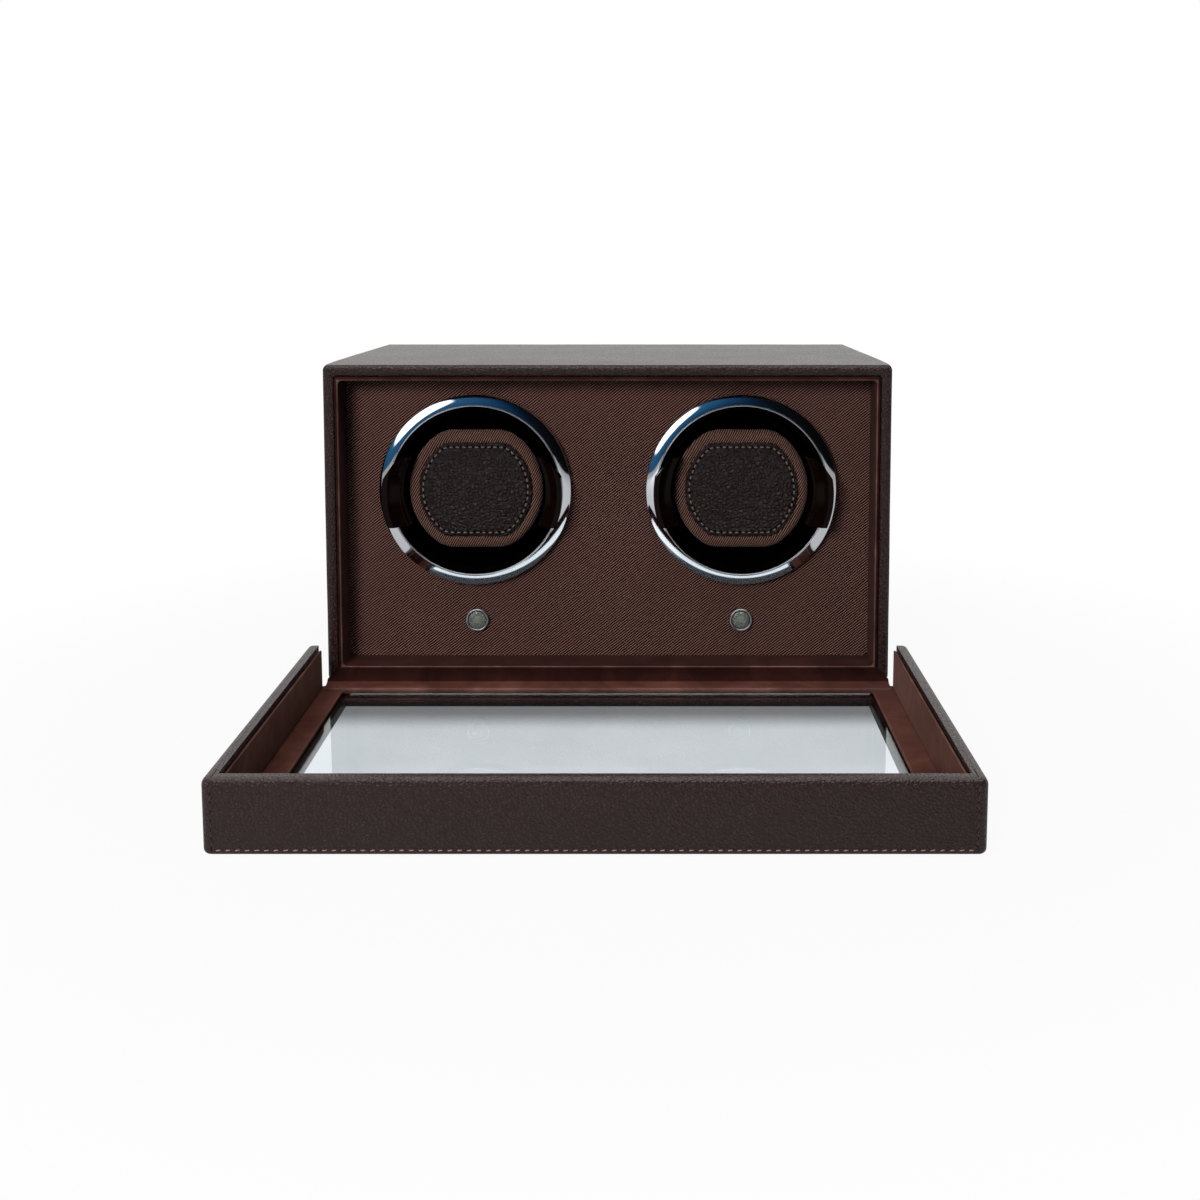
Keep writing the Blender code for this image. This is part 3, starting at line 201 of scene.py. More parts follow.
suedeLook = {
    "sheen": 0.12,
    "tint": "#C79A8C",
    "shade": "#2C1613",
    "nap": "#432620",
    "brushed": "#52322A",
    "patch": 22 * mm,
    "fibre": 0.35 * mm,
    "relief": 0.05 * mm,
}


def napSuede(name, look):
    # Microfibre suede glued to board: no gloss, a soft light rim where the nap stands up
    material, tree, shader, place = newMaterial(
        name, Roughness=0.92, IOR=1.4, Specular_IOR_Level=0.15, Sheen_Weight=look["sheen"],
        Sheen_Roughness=0.45, Sheen_Tint=linear(look["tint"]))
    strokes = addNode(tree, "TexNoise", {
        "Vector": place, "Scale": 1 / look["patch"], "Detail": 4.0, "Distortion": 1.2})
    fibres = addNode(tree, "TexNoise", {
        "Vector": place, "Scale": 1 / look["fibre"], "Detail": 3.0, "Roughness": 0.7})
    tone = addNode(tree, "Math", {0: fibres, 1: 0.55, 2: strokes}, operation="MULTIPLY_ADD")
    colour = addNode(tree, "ValToRGB", {"Fac": tone}, [
        (0.48, look["shade"]), (0.78, look["nap"]), (1.0, look["brushed"])])
    bump = addNode(tree, "Bump", {"Height": fibres, "Distance": look["relief"]})
    setSockets(shader, {"Base Color": colour, "Normal": bump})
    return material


def brightChrome(name):
    # Chrome plate over polished zinc: a dark mirror with a faint orange peel from the casting
    material, tree, shader, place = newMaterial(
        name, Metallic=1.0, Roughness=0.045, Base_Color=linear("#DFE3E8"))
    peel = addNode(tree, "TexNoise", {"Vector": place, "Scale": 1 / (7 * mm), "Detail": 1.0})
    haze = addNode(tree, "TexNoise", {"Vector": place, "Scale": 1 / (1.5 * mm), "Detail": 3.0})
    gloss = addNode(tree, "MapRange", {"Value": haze, "To Min": 0.02, "To Max": 0.085})
    bump = addNode(tree, "Bump", {"Height": peel, "Distance": 0.012 * mm})
    setSockets(shader, {"Roughness": gloss, "Normal": bump})
    return material


def grained(finish, grain, stops, detail=4.0, relief=0, gloss=None, fineness=0.5):
    # One fine noise in the colour, and where given in the relief and the gloss too
    material, tree, shader, place = finish
    pattern = addNode(tree, "TexNoise", {
        "Vector": place, "Scale": 1 / grain, "Detail": detail, "Roughness": fineness})
    setSockets(shader, {"Base Color": addNode(tree, "ValToRGB", {"Fac": pattern}, stops)})
    if gloss:
        shine = addNode(tree, "MapRange", {"Value": pattern, "To Min": gloss[0], "To Max": gloss[1]})
        setSockets(shader, {"Roughness": shine})
    if relief:
        setSockets(shader, {"Normal": addNode(tree, "Bump", {"Height": pattern, "Distance": relief})})
    return material


def glossAcrylic(name, dark, pale, roughness, specular):
    # Injection-moulded acrylic, polished: deep colour, sharp highlights, hairline rubs from handling
    finish = newMaterial(name, Roughness=roughness, IOR=1.49, Specular_IOR_Level=specular)
    return grained(finish, 4 * mm, [(0.3, dark), (0.75, pale)], 5.0, 0.01 * mm,
                   (roughness * 0.6, roughness * 1.6), 0.7)


def mouldedPlastic(name, dark, pale, roughness, grain=0.6 * mm, relief=0.02 * mm):
    # Spark-eroded mould texture: even, fine and matt
    finish = newMaterial(name, Roughness=roughness, IOR=1.5)
    return grained(finish, grain, [(0.35, dark), (0.7, pale)], relief=relief)


def brushedMetal(name, dark, pale, roughness, direction=(1, 0.08, 1), grain=0.4 * mm):
    # Rolled and plated sheet or turned bar: fine lines along the grain
    material, tree, shader, place = newMaterial(name, Metallic=1.0, Roughness=roughness)
    stretched = addNode(tree, "VectorMath", {0: place, 1: direction}, operation="MULTIPLY")
    return grained((material, tree, shader, stretched), grain, [(0.3, dark), (0.75, pale)],
                   relief=0.01 * mm, gloss=(roughness - 0.08, roughness + 0.12))


def floatGlass(name):
    # Float glass: clear, a faint blue-green tint and soft smears on the surface
    finish = newMaterial(name, Roughness=0.0, IOR=1.52, Transmission_Weight=1.0)
    return grained(finish, 30 * mm, [(0.35, "#E0E8ED"), (0.7, "#E7EEF2")])


def clearAcrylic(name):
    # Clear moulded acrylic: the LED below shows through it as a soft spot
    finish = newMaterial(name, Roughness=0.06, IOR=1.49, Transmission_Weight=0.85)
    return grained(finish, 1.2 * mm, [(0.35, "#B9BFB4"), (0.7, "#D3D8CE")], 2.0)


def stitchThread(name, dark, pale):
    # Bonded polyester thread: a slight shine and a twist of fine plies
    finish = newMaterial(name, Roughness=0.55, IOR=1.5, Sheen_Weight=0.2)
    return grained(finish, 0.3 * mm, [(0.3, dark), (0.7, pale)], 2.0, 0.06 * mm)


def circuitLaminate(name):
    # Glass-epoxy laminate under green solder resist: copper tracks show as paler lines
    material, tree, shader, place = newMaterial(name, Roughness=0.35, IOR=1.5)
    tracks = addNode(tree, "TexBrick", {
        "Vector": place, "Scale": 1 / (9 * mm), "Mortar Size": 0.03, "Color1": linear("#12532C"),
        "Color2": linear("#175E33"), "Mortar": linear("#2E8A50")}, offset=0.35)
    setSockets(shader, {"Base Color": tracks})
    return material


print("materials")
caseHide = pebbledLeather("pebbledLeather", leatherLook)
patchHide = pebbledLeather("patchLeather", {
    **leatherLook, "groove": "#120A08", "face": "#1E1310", "rubbed": "#2E201B", "pebble": 2.1 * mm,
    "relief": 0.7 * mm, "specular": 0.4})
# Near black for the faces inside the patch's stitch holes: painted shade in the holes
seamShadow = mouldedPlastic("needleHoleShade", "#020101", "#060303", 0.9)
panelTwill = twillCloth("panelTwill", panelTwillLook)
cushionTwill = twillCloth("cushionTwill", cushionTwillLook)
# Near-black twill for the cushion's sides behind the front rounding: painted shade
cushionSideShade = twillCloth("cushionSideShade", {
    **cushionTwillLook, "groove": "#020101", "rib": "#050302", "fleck": "#0E0807", "specular": 0, "sheen": 0})
liningSuede = napSuede("microfibreSuede", suedeLook)
# A darker copy of the suede: painted shade, for the recess's lining and the upright part of the hinge cloth
shadedSuede = napSuede("shadedSuede", {
    **suedeLook, "sheen": 0.05, "shade": "#160807", "nap": "#22100D", "brushed": "#2C1613"})
# A paler copy of the suede: a painted highlight on the crests of rolled edges
paintedHighlightSuede = napSuede("suedeHighlight", {**suedeLook, "shade": "#3A2623", "nap": "#513934", "brushed": "#684B44"})
chrome = brightChrome("chromePlate")
satinChrome = brushedMetal("satinChrome", "#D2CFCE", "#E2E0DF", 0.3, (1, 1, 1), 0.5 * mm)
platedSteel = brushedMetal("zincPlatedSteel", "#9C9DA0", "#C4C5C8", 0.33)
bushBronze = brushedMetal("sinteredBronze", "#8F6434", "#B98A4E", 0.45, (1, 1, 1), 0.5 * mm)
drumAcrylic = glossAcrylic("blackAcrylic", "#010101", "#030303", 0.45, 0.0)
cuffAcrylic = glossAcrylic("brownAcrylic", "#060201", "#0D0503", 0.14, 0.08)
windowGlass = floatGlass("floatGlass")
lensAcrylic = clearAcrylic("clearAcrylic")
lampEpoxy = mouldedPlastic("lampEpoxy", "#B8BC98", "#CDD0AE", 0.25, 2 * mm)
blackPolymer = mouldedPlastic("mouldedBlackABS", "#0E0E0E", "#191919", 0.5)
backBoard = mouldedPlastic("blackPaintedBoard", "#101010", "#1B1A19", 0.72, 1.6 * mm, 0.05 * mm)
footRubber = mouldedPlastic("mouldedRubber", "#131313", "#1D1D1D", 0.85, 0.9 * mm, 0.04 * mm)
gearNylon = mouldedPlastic("mouldedNylon", "#C9C4B2", "#DAD6C6", 0.5, 1.2 * mm)
threadBrown = stitchThread("polyesterThread", "#6A4C45", "#96746B")
threadDark = stitchThread("darkThread", "#170E0C", "#2C1E1B")
threadPatch = stitchThread("patchThread", "#4C403A", "#7E7068")
boardLaminate = circuitLaminate("circuitLaminate")


# Small tools for meshes

def inScene(name, data):
    obj = bpy.data.objects.new(name, data)
    bpy.context.scene.collection.objects.link(obj)
    return obj


def newPiece(name, mesh, material, body, crease=40):
    obj = inScene(name, mesh)
    mesh.name = name
    mesh.materials.clear()
    mesh.materials.append(material)
    mesh.shade_smooth()
    mesh.set_sharp_from_angle(angle=math.radians(crease))
    if body:
        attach(obj, body)
    return obj


def paintFaces(piece, material, belongs):
    # A further material on the faces that a test picks out
    piece.data.materials.append(material)
    for face in piece.data.polygons:
        if belongs(face):
            face.material_index = len(piece.data.materials) - 1


def asMesh(shape):
    mesh = bpy.data.meshes.new("draft")
    shape.to_mesh(mesh)
    shape.free()
    return mesh


def facedMesh(points, faces):
    mesh = bpy.data.meshes.new("draft")
    mesh.from_pydata([tuple(point) for point in points], [], faces)
    shape = bmesh.new()
    shape.from_mesh(mesh)
    bmesh.ops.remove_doubles(shape, verts=shape.verts, dist=0.0005 * mm)
    bmesh.ops.recalc_face_normals(shape, faces=shape.faces)
    return asMesh(shape)


def loftMesh(rings, joined=False):
    # Closed rings of points, one skinned to the next; joined also skins the last to the first
    rings = np.asarray(rings, dtype=float)
    count, around = rings.shape[:2]
    faces = []
    for i in range(count if joined else count - 1):
        near, far = i * around, (i + 1) % count * around
        for k in range(around):
            after = (k + 1) % around
            faces.append((near + k, near + after, far + after, far + k))
    if not joined:
        faces.append(tuple(range(around)))
        faces.append(tuple((count - 1) * around + k for k in range(around)))
    return facedMesh(rings.reshape(-1, 3), faces)


def latheMesh(profile, centre, steps=96, joined=True):
    # A profile of (radius, y) turned about a line along Y
    turns = [(math.cos(math.tau * k / steps), math.sin(math.tau * k / steps)) for k in range(steps)]
    rings = [[(centre[0] + radius * across, y, centre[1] + radius * up) for across, up in turns]
             for radius, y in profile]
    return loftMesh(rings, joined)


def arcPoints(centre, radius, start, end, steps):
    # Points of an arc in a plane, its angles in degrees
    for k in range(steps + 1):
        angle = math.radians(start + (end - start) * k / steps)
        yield centre[0] + radius * math.cos(angle), centre[1] + radius * math.sin(angle)


def roundedRectangle(low, high, radius, spans, cornerSteps=6):
    # The same number of points for every size, so that rectangles can be lofted together
    left, right, bottom, top = low[0] + radius, high[0] - radius, low[1] + radius, high[1] - radius
    arcs = [list(arcPoints(centre, radius, 90 * k - 90, 90 * k, cornerSteps))
            for k, centre in enumerate(((right, bottom), (right, top), (left, top), (left, bottom)))]
    outline = []
    for number, arc in enumerate(arcs):
        outline += arc
        here, target = arc[-1], arcs[(number + 1) % 4][0]
        count = spans[(number + 1) % 2]
        outline += [(here[0] + (target[0] - here[0]) * k / count, here[1] + (target[1] - here[1]) * k / count)
                    for k in range(1, count)]
    return outline


def roundEdges(shape, edges, width, segments):
    bmesh.ops.bevel(shape, geom=edges, offset=width, segments=segments, profile=0.5, affect="EDGES")


def blockMesh(low, high, edge=0.0, segments=3):
    shape = bmesh.new()
    bmesh.ops.create_cube(shape, size=1)
    low, high = Vector(low), Vector(high)
    bmesh.ops.scale(shape, vec=high - low, verts=shape.verts)
    bmesh.ops.translate(shape, vec=(low + high) / 2, verts=shape.verts)
    if edge:
        roundEdges(shape, list(shape.edges), edge, segments)
    return asMesh(shape)


def settle(obj):
    # The mesh that the object's modifiers give
    graph = bpy.context.evaluated_depsgraph_get()
    return bpy.data.meshes.new_from_object(obj.evaluated_get(graph), depsgraph=graph)


def carved(mesh, cutters, operation="DIFFERENCE"):
    # The mesh with other meshes cut out of it, or joined to it
    obj = inScene("draft", mesh)
    tools = [inScene("cutter", cutter) for cutter in cutters]
    for tool in tools:
        modifier = obj.modifiers.new("cut", "BOOLEAN")
        modifier.operation = operation
        modifier.object = tool
    result = settle(obj)
    for used in (obj, *tools):
        bpy.data.objects.remove(used)
    return result


def modified(mesh, kind, **settings):
    # The mesh after one modifier
    obj = inScene("draft", mesh)
    modifier = obj.modifiers.new(kind, kind)
    for key, value in settings.items():
        setattr(modifier, key, value)
    result = settle(obj)
    bpy.data.objects.remove(obj)
    return result


def bevelled(mesh, width, segments=3, angle=40):
    return modified(mesh, "BEVEL", width=width, segments=segments, limit_method="ANGLE",
                    angle_limit=math.radians(angle), harden_normals=False)


def movedMesh(mesh, matrix):
    mesh.transform(matrix)
    return mesh


def joinedMesh(meshes):
    shape = bmesh.new()
    for mesh in meshes:
        shape.from_mesh(mesh)
    return asMesh(shape)


def dressNodes(material, *names):
    for name in names:
        data = frame["nodes"][name].data
        for slotNumber in range(len(data.materials)):
            data.materials[slotNumber] = material
        if not data.materials:
            data.materials.append(material)


# Places taken from the frame

caseLow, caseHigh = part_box("case_shell")
liningLow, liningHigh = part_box("lining_frame")
hinge = next(joint for joint in frame["record"]["behaviour"]["joints"] if joint["name"] == "cover_hinge")
hingeZ = hinge["pos_m"][2]
coverTilt = math.radians(-hinge["range_deg"][0] - 90)
coverSpace = Matrix.Translation((0, 0, hingeZ)) @ Matrix.Rotation(coverTilt, 4, "X")


def moduleCentre(side):
    low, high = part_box(side + "_bezel")
    return (low.x + high.x) / 2, (low.z + high.z) / 2


# Case: one hide wrapped round the board box, turned in over a padded front edge

casePiece = {
    "wall": 6 * mm,
    "frontCorner": 3.3 * mm,
    "corner": 1.3 * mm,
    "cornerRun": 9 * mm,
    "bayCorner": 1.2 * mm,
    "clear": 0.02 * mm,  # kept free before the plane that the closed cover meets
    "setBack": 0.4 * mm,
    "frontRound": 2.6 * mm,
    "innerRound": 1.3 * mm,
    "crownRun": 70 * mm,
    "crownDrop": 0.25 * mm,
    "grooveAngle": 60,  # the crease round the padded edge, in degrees from the front
    "grooveHalf": 7,
    "grooveDepth": 0.6 * mm,
    "ledgeFront": 159 * mm,  # the ledge that carries the back panel
    "ledgeBack": 169 * mm,
    "ledge": 8 * mm,
    "backRound": 2.2 * mm,
    "backChamfer": 0.8 * mm,
    "uneven": 0.10 * mm,
    "unevenScale": 26 * mm,
    "unevenInset": 4 * mm,
    "unevenEdge": 5 * mm,
    "rebate": 1.4 * mm,  # cut into the lower edge for the hinge's leaf
    "rebateRise": 6.5 * mm,
    "over": 5 * mm,  # how far the cutters stand past the case
    "channelRadius": 2 * mm,  # room for the hinge's pin
    "channelHalf": 127 * mm,
}


def caseProfile(look):
    # (inset from the outer face, y), from the inside of the front edge, over it and back along the case
    wall, turn, inner, back = look["wall"], look["frontRound"], look["innerRound"], look["backRound"]
    depth, ledge, chamfer = caseHigh.y, look["wall"] + look["ledge"], look["backChamfer"]
    profile = [(wall, inner + look["setBack"])]
    profile += arcPoints((wall - inner, inner + look["setBack"]), inner, -20, -90, 5)
    profile += [(wall - inner - (wall - inner - turn) * share, look["clear"]) for share in (0.3, 0.6)]
    for angle in np.arange(0, 91, 3.75):
        dent = look["grooveDepth"] * math.exp(-((angle - look["grooveAngle"]) / look["grooveHalf"]) ** 2)
        a, reach = math.radians(angle), turn - dent
        profile.append((turn - reach * math.sin(a), turn - reach * math.cos(a) + look["clear"]))
    profile += [(0, y) for y in np.linspace(turn + 3 * mm, depth - back - 1 * mm, 24)]
    profile += arcPoints((back, depth - back), back, 180, 90, 5)
    profile += [(wall - chamfer, depth), (wall, depth - chamfer), (wall, look["ledgeBack"]),
                (ledge, look["ledgeBack"]), (ledge, look["ledgeFront"]), (wall, look["ledgeFront"])]
    return profile + [(wall, y * mm) for y in (90, 24, 12)]


def caseRings(look):
    low, high = (caseLow.x, caseLow.z), (caseHigh.x, caseHigh.z)
    middle, half = (low[1] + high[1]) / 2, (high[1] - low[1]) / 2
    rings = []
    for inset, y in caseProfile(look):
        onSkin = inset < look["frontRound"] + 0.1 * mm
        inset += look["crownDrop"] * max(1 - y / look["crownRun"], 0) ** 2 if onSkin else 0
        fade = min(y / look["cornerRun"], 1)
        corner = look["frontCorner"] + (look["corner"] - look["frontCorner"]) * fade * fade * (3 - 2 * fade)
        outline = roundedRectangle((low[0] + inset, low[1] + inset), (high[0] - inset, high[1] - inset),
                                   max(corner - inset, look["bayCorner"]), (40, 24), 8)
        ring = [Vector((x, y, z)) for x, z in outline]
        for point in ring if inset < look["unevenInset"] else ():
            # Hide over board is never quite flat: it swells and sinks square to each face
            outward = Vector((point.x * (abs(point.x) > high[0] - look["unevenEdge"]), 0,
                              (point.z - middle) * (abs(point.z - middle) > half - look["unevenEdge"])))
            if outward.length:
                swell = noise.noise(point / look["unevenScale"]) * look["uneven"]
                point += outward.normalized() * (swell - look["uneven"] * 0.6)
        rings.append(ring)
    return rings


def makeCase():
    look = casePiece
    over, radius, half = look["over"], look["channelRadius"], look["channelHalf"]
    bayX = caseHigh.x - look["wall"]
    rebate = blockMesh((-bayX, -over, caseLow.z - over),
                       (bayX, look["rebate"], caseLow.z + look["rebateRise"]))
    channel = latheMesh([(0, -half), (radius, -half), (radius, half), (0, half)], (0, 0), 32, joined=False)
    channel.transform(Matrix.Translation((0, 0, hingeZ)) @ Matrix.Rotation(math.pi / 2, 4, "Z"))
    mesh = carved(loftMesh(caseRings(look), joined=True), [rebate, channel])
    piece = newPiece("caseLeather", mesh, caseHide, "root", 50)
    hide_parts("case_shell")


# Lining round the recess: suede over thin board, its front edge rolled to a soft lip, whose crest carries a
# painted highlight in paler suede

liningPiece = {"board": 1.8 * mm, "corner": 2.2 * mm, "outerCorner": 0.8 * mm, "lipFront": -0.2 * mm}


def makeLining():
    look = liningPiece
    board, half, back = look["board"], look["board"] / 2, liningHigh.y
    profile = [(0, back), *arcPoints((half, look["lipFront"] + half), half, 180, 360, 10),
               (board, 4 * mm), (board, 10 * mm), (board, back)]
    rings = []
    for inset, y in profile:
        radius = look["outerCorner"] + (look["corner"] - look["outerCorner"]) * inset / board
        outline = roundedRectangle((liningLow.x + inset, liningLow.z + inset),
                                   (liningHigh.x - inset, liningHigh.z - inset), radius, (30, 18), 8)
        rings.append([(x, y, z) for x, z in outline])
    # The lining takes the darker copy of the suede: painted shade in the recess
    piece = newPiece("liningSuede", loftMesh(rings, joined=True), shadedSuede, "root")

    def onLip(face):
        x, y, z = face.center
        inset = min(liningHigh.x - abs(x), z - liningLow.z, liningHigh.z - z)
        return inset > 0.62 * board and y < look["lipFront"] + 0.9 * half

    # The crest of the lip takes the paler suede: a painted highlight
    paintFaces(piece, paintedHighlightSuede, onLip)
    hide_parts("lining_frame")


# Bezels: a conical chrome band between two small rolled edges

bezelPiece = {
    "inner": 43.45 * mm,
    "outer": 49.3 * mm,
    "front": 13.4 * mm,
    "seat": 19.7 * mm,
    "innerRoll": 0.34 * mm,
    "groove": 0.2 * mm,
    "grooveDepth": 0.3 * mm,
    "tilts": (6, 25),  # degrees, at the hole and at the outer edge
    "outerRound": 0.4 * mm,
}


def makeBezel(side):
    look = bezelPiece
    inner, outer, front, seat = look["inner"], look["outer"], look["front"], look["seat"]
    roll, edge, groove = look["innerRoll"], look["outerRound"], look["groove"]
    profile = [(inner, seat), (inner, front + roll)]
    profile += arcPoints((inner + roll, front + roll), roll, 180, 340, 12)
    start, y = inner + 2 * roll + groove, front + 0.1 * mm
    profile.append((start - groove * 0.5, y + look["grooveDepth"]))
    # The band steepens from the hole outwards, and then turns down round its outer edge
    shallow, steep = look["tilts"]
    reach = outer - edge + edge * math.sin(math.radians(steep)) - start
    steps = 18
    for number in range(steps + 1):
        profile.append((start + reach * number / steps, y))
        y += reach / steps * math.tan(math.radians(shallow + (steep - shallow) * (number + 0.5) / steps))
    bandBack = profile[-1][1] + edge * math.cos(math.radians(steep))
    profile += list(arcPoints((outer - edge, bandBack), edge, steep - 90, 0, 9))[1:]
    profile.append((outer, seat))
    x, z = moduleCentre(side)
    piece = newPiece(side + "BezelChrome", latheMesh(profile, (x, z), 192), chrome, "root", 60)

    def onRolls(face):
        radius = math.hypot(face.center.x - x, face.center.z - z)
        return radius < start - groove or radius > outer - 0.25 * edge

    paintFaces(piece, satinChrome, onRolls)
    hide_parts(side + "_bezel")


# Drums: black acrylic cups that turn behind the bezels

drumPiece = {
    "inner": 41 * mm,
    "outer": 43 * mm,
    "front": 15 * mm,
    "back": 75 * mm,
    "floor": 72 * mm,
    "hub": 7 * mm,
    "bore": 4.1 * mm,
    "hubBack": 77.7 * mm,
    "lip": 0.6 * mm,
    "fillet": 2.5 * mm,
}


def makeDrum(side):
    look = drumPiece
    lip, fillet = look["lip"], look["fillet"]
    profile = [
        (look["bore"], look["hubBack"]), (look["bore"], look["floor"]),
        *arcPoints((look["inner"] - fillet, look["floor"] - fillet), fillet, 90, 0, 8),
        *arcPoints((look["inner"] + lip, look["front"] + lip), lip, 180, 270, 5),
        *arcPoints((look["outer"] - lip, look["front"] + lip), lip, 270, 360, 5),
        (look["outer"], look["back"]), (look["hub"], look["back"]), (look["hub"], look["hubBack"])]
    piece = newPiece(side + "DrumAcrylic", latheMesh(profile, moduleCentre(side), 144), drumAcrylic,
                     side + "_rotor")
    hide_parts(side + "_drum")


# Cuffs: two arms on a back disc; their wings stand forward over the bezel with a sloping finger scoop

cuffPiece = {
    "armInner": 36.6 * mm,
    "armOuter": 40.7 * mm,
    "wingInner": 37.4 * mm,
    "wingOuter": 45.5 * mm,
    "land": 42.9 * mm,
    "front": 1.2 * mm,
    "scoopBack": 6.7 * mm,
    "scoopSag": 0.5 * mm,
    "wingBack": 11.2 * mm,
    "step": 0.2 * mm,
    "armBack": 65 * mm,
    "bottom": -17 * mm,
    "outerTop": 8 * mm,
    "innerTop": 18 * mm,
    "shoulder": 41.4 * mm,
    "disc": 38.5 * mm,
    "discEdge": 0.6 * mm,
    "discFront": 62.8 * mm,
    "discBack": 66.3 * mm,
    "edge": 0.38 * mm,
}


def wingMesh(look, sign):
    # Sections at rising heights; at each height a point keeps its distance from the drum's axis
    wing, land, front, back = look["wingInner"], look["land"], look["front"], look["wingBack"]
    section = [(look["armInner"], look["armBack"]), (look["armInner"], back),
               (wing, back - look["step"]), (wing, look["scoopBack"])]
    for share in (0.12, 0.45, (look["shoulder"] - wing) / (land - wing), 0.9):
        sag = look["scoopSag"] * math.sin(math.pi * share)
        section.append((wing + (land - wing) * share,
                        look["scoopBack"] + (front - look["scoopBack"]) * share + sag))
    section += [(land, front), (look["wingOuter"], front), (look["wingOuter"], back),
                (look["armOuter"], back), (look["armOuter"], back + look["step"]),
                (look["armOuter"], look["armBack"])]
    slope = (look["innerTop"] - look["outerTop"]) / (look["wingOuter"] - look["shoulder"])
    rings = []
    for share in np.linspace(0, 1, 25):
        ring = []
        for radius, y in section:
            top = look["innerTop"] - max(radius - look["shoulder"], 0) * slope
            z = look["bottom"] + (top - look["bottom"]) * share
            ring.append((sign * math.sqrt(radius ** 2 - z ** 2), y, z))
        rings.append(ring)
    return loftMesh(rings)


def makeCuff(side):
    look = cuffPiece
    x, z = moduleCentre(side)
    radius, edge, front, back = look["disc"], look["discEdge"], look["discFront"], look["discBack"]
    disc = latheMesh([(0, front), (radius - edge, front), (radius, front + edge), (radius, back), (0, back)],
                     (0, 0), 96, joined=False)
    mesh = bevelled(carved(disc, [wingMesh(look, -1), wingMesh(look, 1)], "UNION"), look["edge"], 3, 38)
    mesh.transform(Matrix.Translation((x, 0, z)))
    piece = newPiece(side + "CuffAcrylic", mesh, cuffAcrylic, side + "_cuff", 45)
    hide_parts(side + "_cuff")


# Watch cushions: foam in twill, round with a flat top and bottom, and a leather patch sewn to the front

cushionPiece = {
    "radius": 35.0 * mm,
    "flat": 30.8 * mm,
    "soften": 1.8 * mm,
    "dent": 0.9 * mm,
    "dentHalf": 1.3 * mm,
    "dentReach": 3 * mm,
    "front": 18.0 * mm,
    "crown": 0.9 * mm,
    "back": 62.3 * mm,
    "frontRound": 3.6 * mm,
    "waist": 0.8 * mm,
    "voxel": 1.7 * mm,
    "swell": 0.9 * mm,  # the most that the pressure may move the cloth
    "frames": 14,
}


def flatRound(radius, flat, soften, angle):
    # Distance from the middle to the outline at an angle: a circle cut flat above and below, corners eased
    level = flat / max(abs(math.sin(angle)), 0.001)
    gap = max(soften - abs(radius - level), 0) / soften
    return min(radius, level) - gap * gap * soften / 4


def cushionMesh(look):
    radius, turn, crown = look["radius"], look["frontRound"], look["crown"]
    depth, steps = look["back"] - look["front"], 120
    quarter = np.radians(np.arange(0, 91, 15))
    # Each station: the share of the outline, and the way back from the front
    stations = [(0.03, -crown), (0.3, -crown * 0.9), (0.6, -crown * 0.62), (0.8, -0.25 * mm)]
    stations += [(1 - turn / radius * (1 - math.sin(a)), turn - turn * math.cos(a)) for a in quarter]
    stations += [(1 - look["waist"] / radius * math.sin(math.pi * s), turn + (depth - 2 * turn) * s)
                 for s in (0.15, 0.3, 0.5, 0.7, 0.85)]
    stations += [(1 - turn / radius * (1 - math.cos(a)), depth - turn + turn * math.sin(a)) for a in quarter]
    stations += [(0.5, depth), (0.03, depth)]
    outline = []
    for k in range(steps):
        angle = math.tau * k / steps
        reach = flatRound(radius, look["flat"], look["soften"], angle)
        outline.append((reach * math.cos(angle), reach * math.sin(angle)))
    return loftMesh([[(x * scale, look["front"] + y, z * scale) for x, z in outline]
                     for scale, y in stations])


def inflated(mesh, look):
    # A cloth skin under slight pressure: the flats and the front fill out as foam does under twill
    mesh = modified(mesh, "REMESH", mode="VOXEL", voxel_size=look["voxel"])
    scene = bpy.context.scene
    obj = inScene("cushionDraft", mesh)
    rest = np.empty(len(mesh.vertices) * 3)
    mesh.vertices.foreach_get("co", rest)
    cloth = obj.modifiers.new("skin", "CLOTH").settings
    cloth.quality = 5
    cloth.use_pressure = True
    cloth.uniform_pressure_force = 4
    cloth.effector_weights.gravity = 0
    cloth.mass = 0.1
    cloth.tension_stiffness = 20
    cloth.compression_stiffness = 20
    cloth.bending_stiffness = 1.5
    for number in range(1, look["frames"] + 1):
        scene.frame_set(number)
    moved = np.empty_like(rest)
    graph = bpy.context.evaluated_depsgraph_get()
    obj.evaluated_get(graph).data.vertices.foreach_get("co", moved)
    bpy.data.objects.remove(obj)
    scene.frame_set(1)
    shift = (moved - rest).reshape(-1, 3)
    length = np.linalg.norm(shift, axis=1, keepdims=True)
    shift *= np.minimum(1, look["swell"] / np.maximum(length, 1e-9))
    mesh.vertices.foreach_set("co", (rest.reshape(-1, 3) + shift).ravel())
    return modified(modified(mesh, "SMOOTH", factor=0.5, iterations=4), "SUBSURF", levels=1)


patchPiece = {
    "radius": 29.2 * mm,
    "flat": 24.4 * mm,
    "soften": 2.2 * mm,
    "thickness": 1.3 * mm,
    "edgeRound": 0.7 * mm,
    "seamInset": 2.2 * mm,
    "seamHalf": 0.95 * mm,
    "seamDepth": 0.34 * mm,
    "holeRadius": 0.62 * mm,
    "holeDepth": 1.0 * mm,
    "scallop": 0.22 * mm,  # the edge draws in at each stitch
    "scallopRun": 1.2 * mm,
    "stitchPitch": 3.5 * mm,
    "stitchLength": 2.0 * mm,
    "stitchRadius": 0.36 * mm,
    "pucker": 0.16 * mm,  # the leather rises between the holes
    "puckerRun": 1.5 * mm,
    "thinnest": 0.15 * mm,
    "lift": 0.05 * mm,  # the patch's back above the cushion's cloth
}


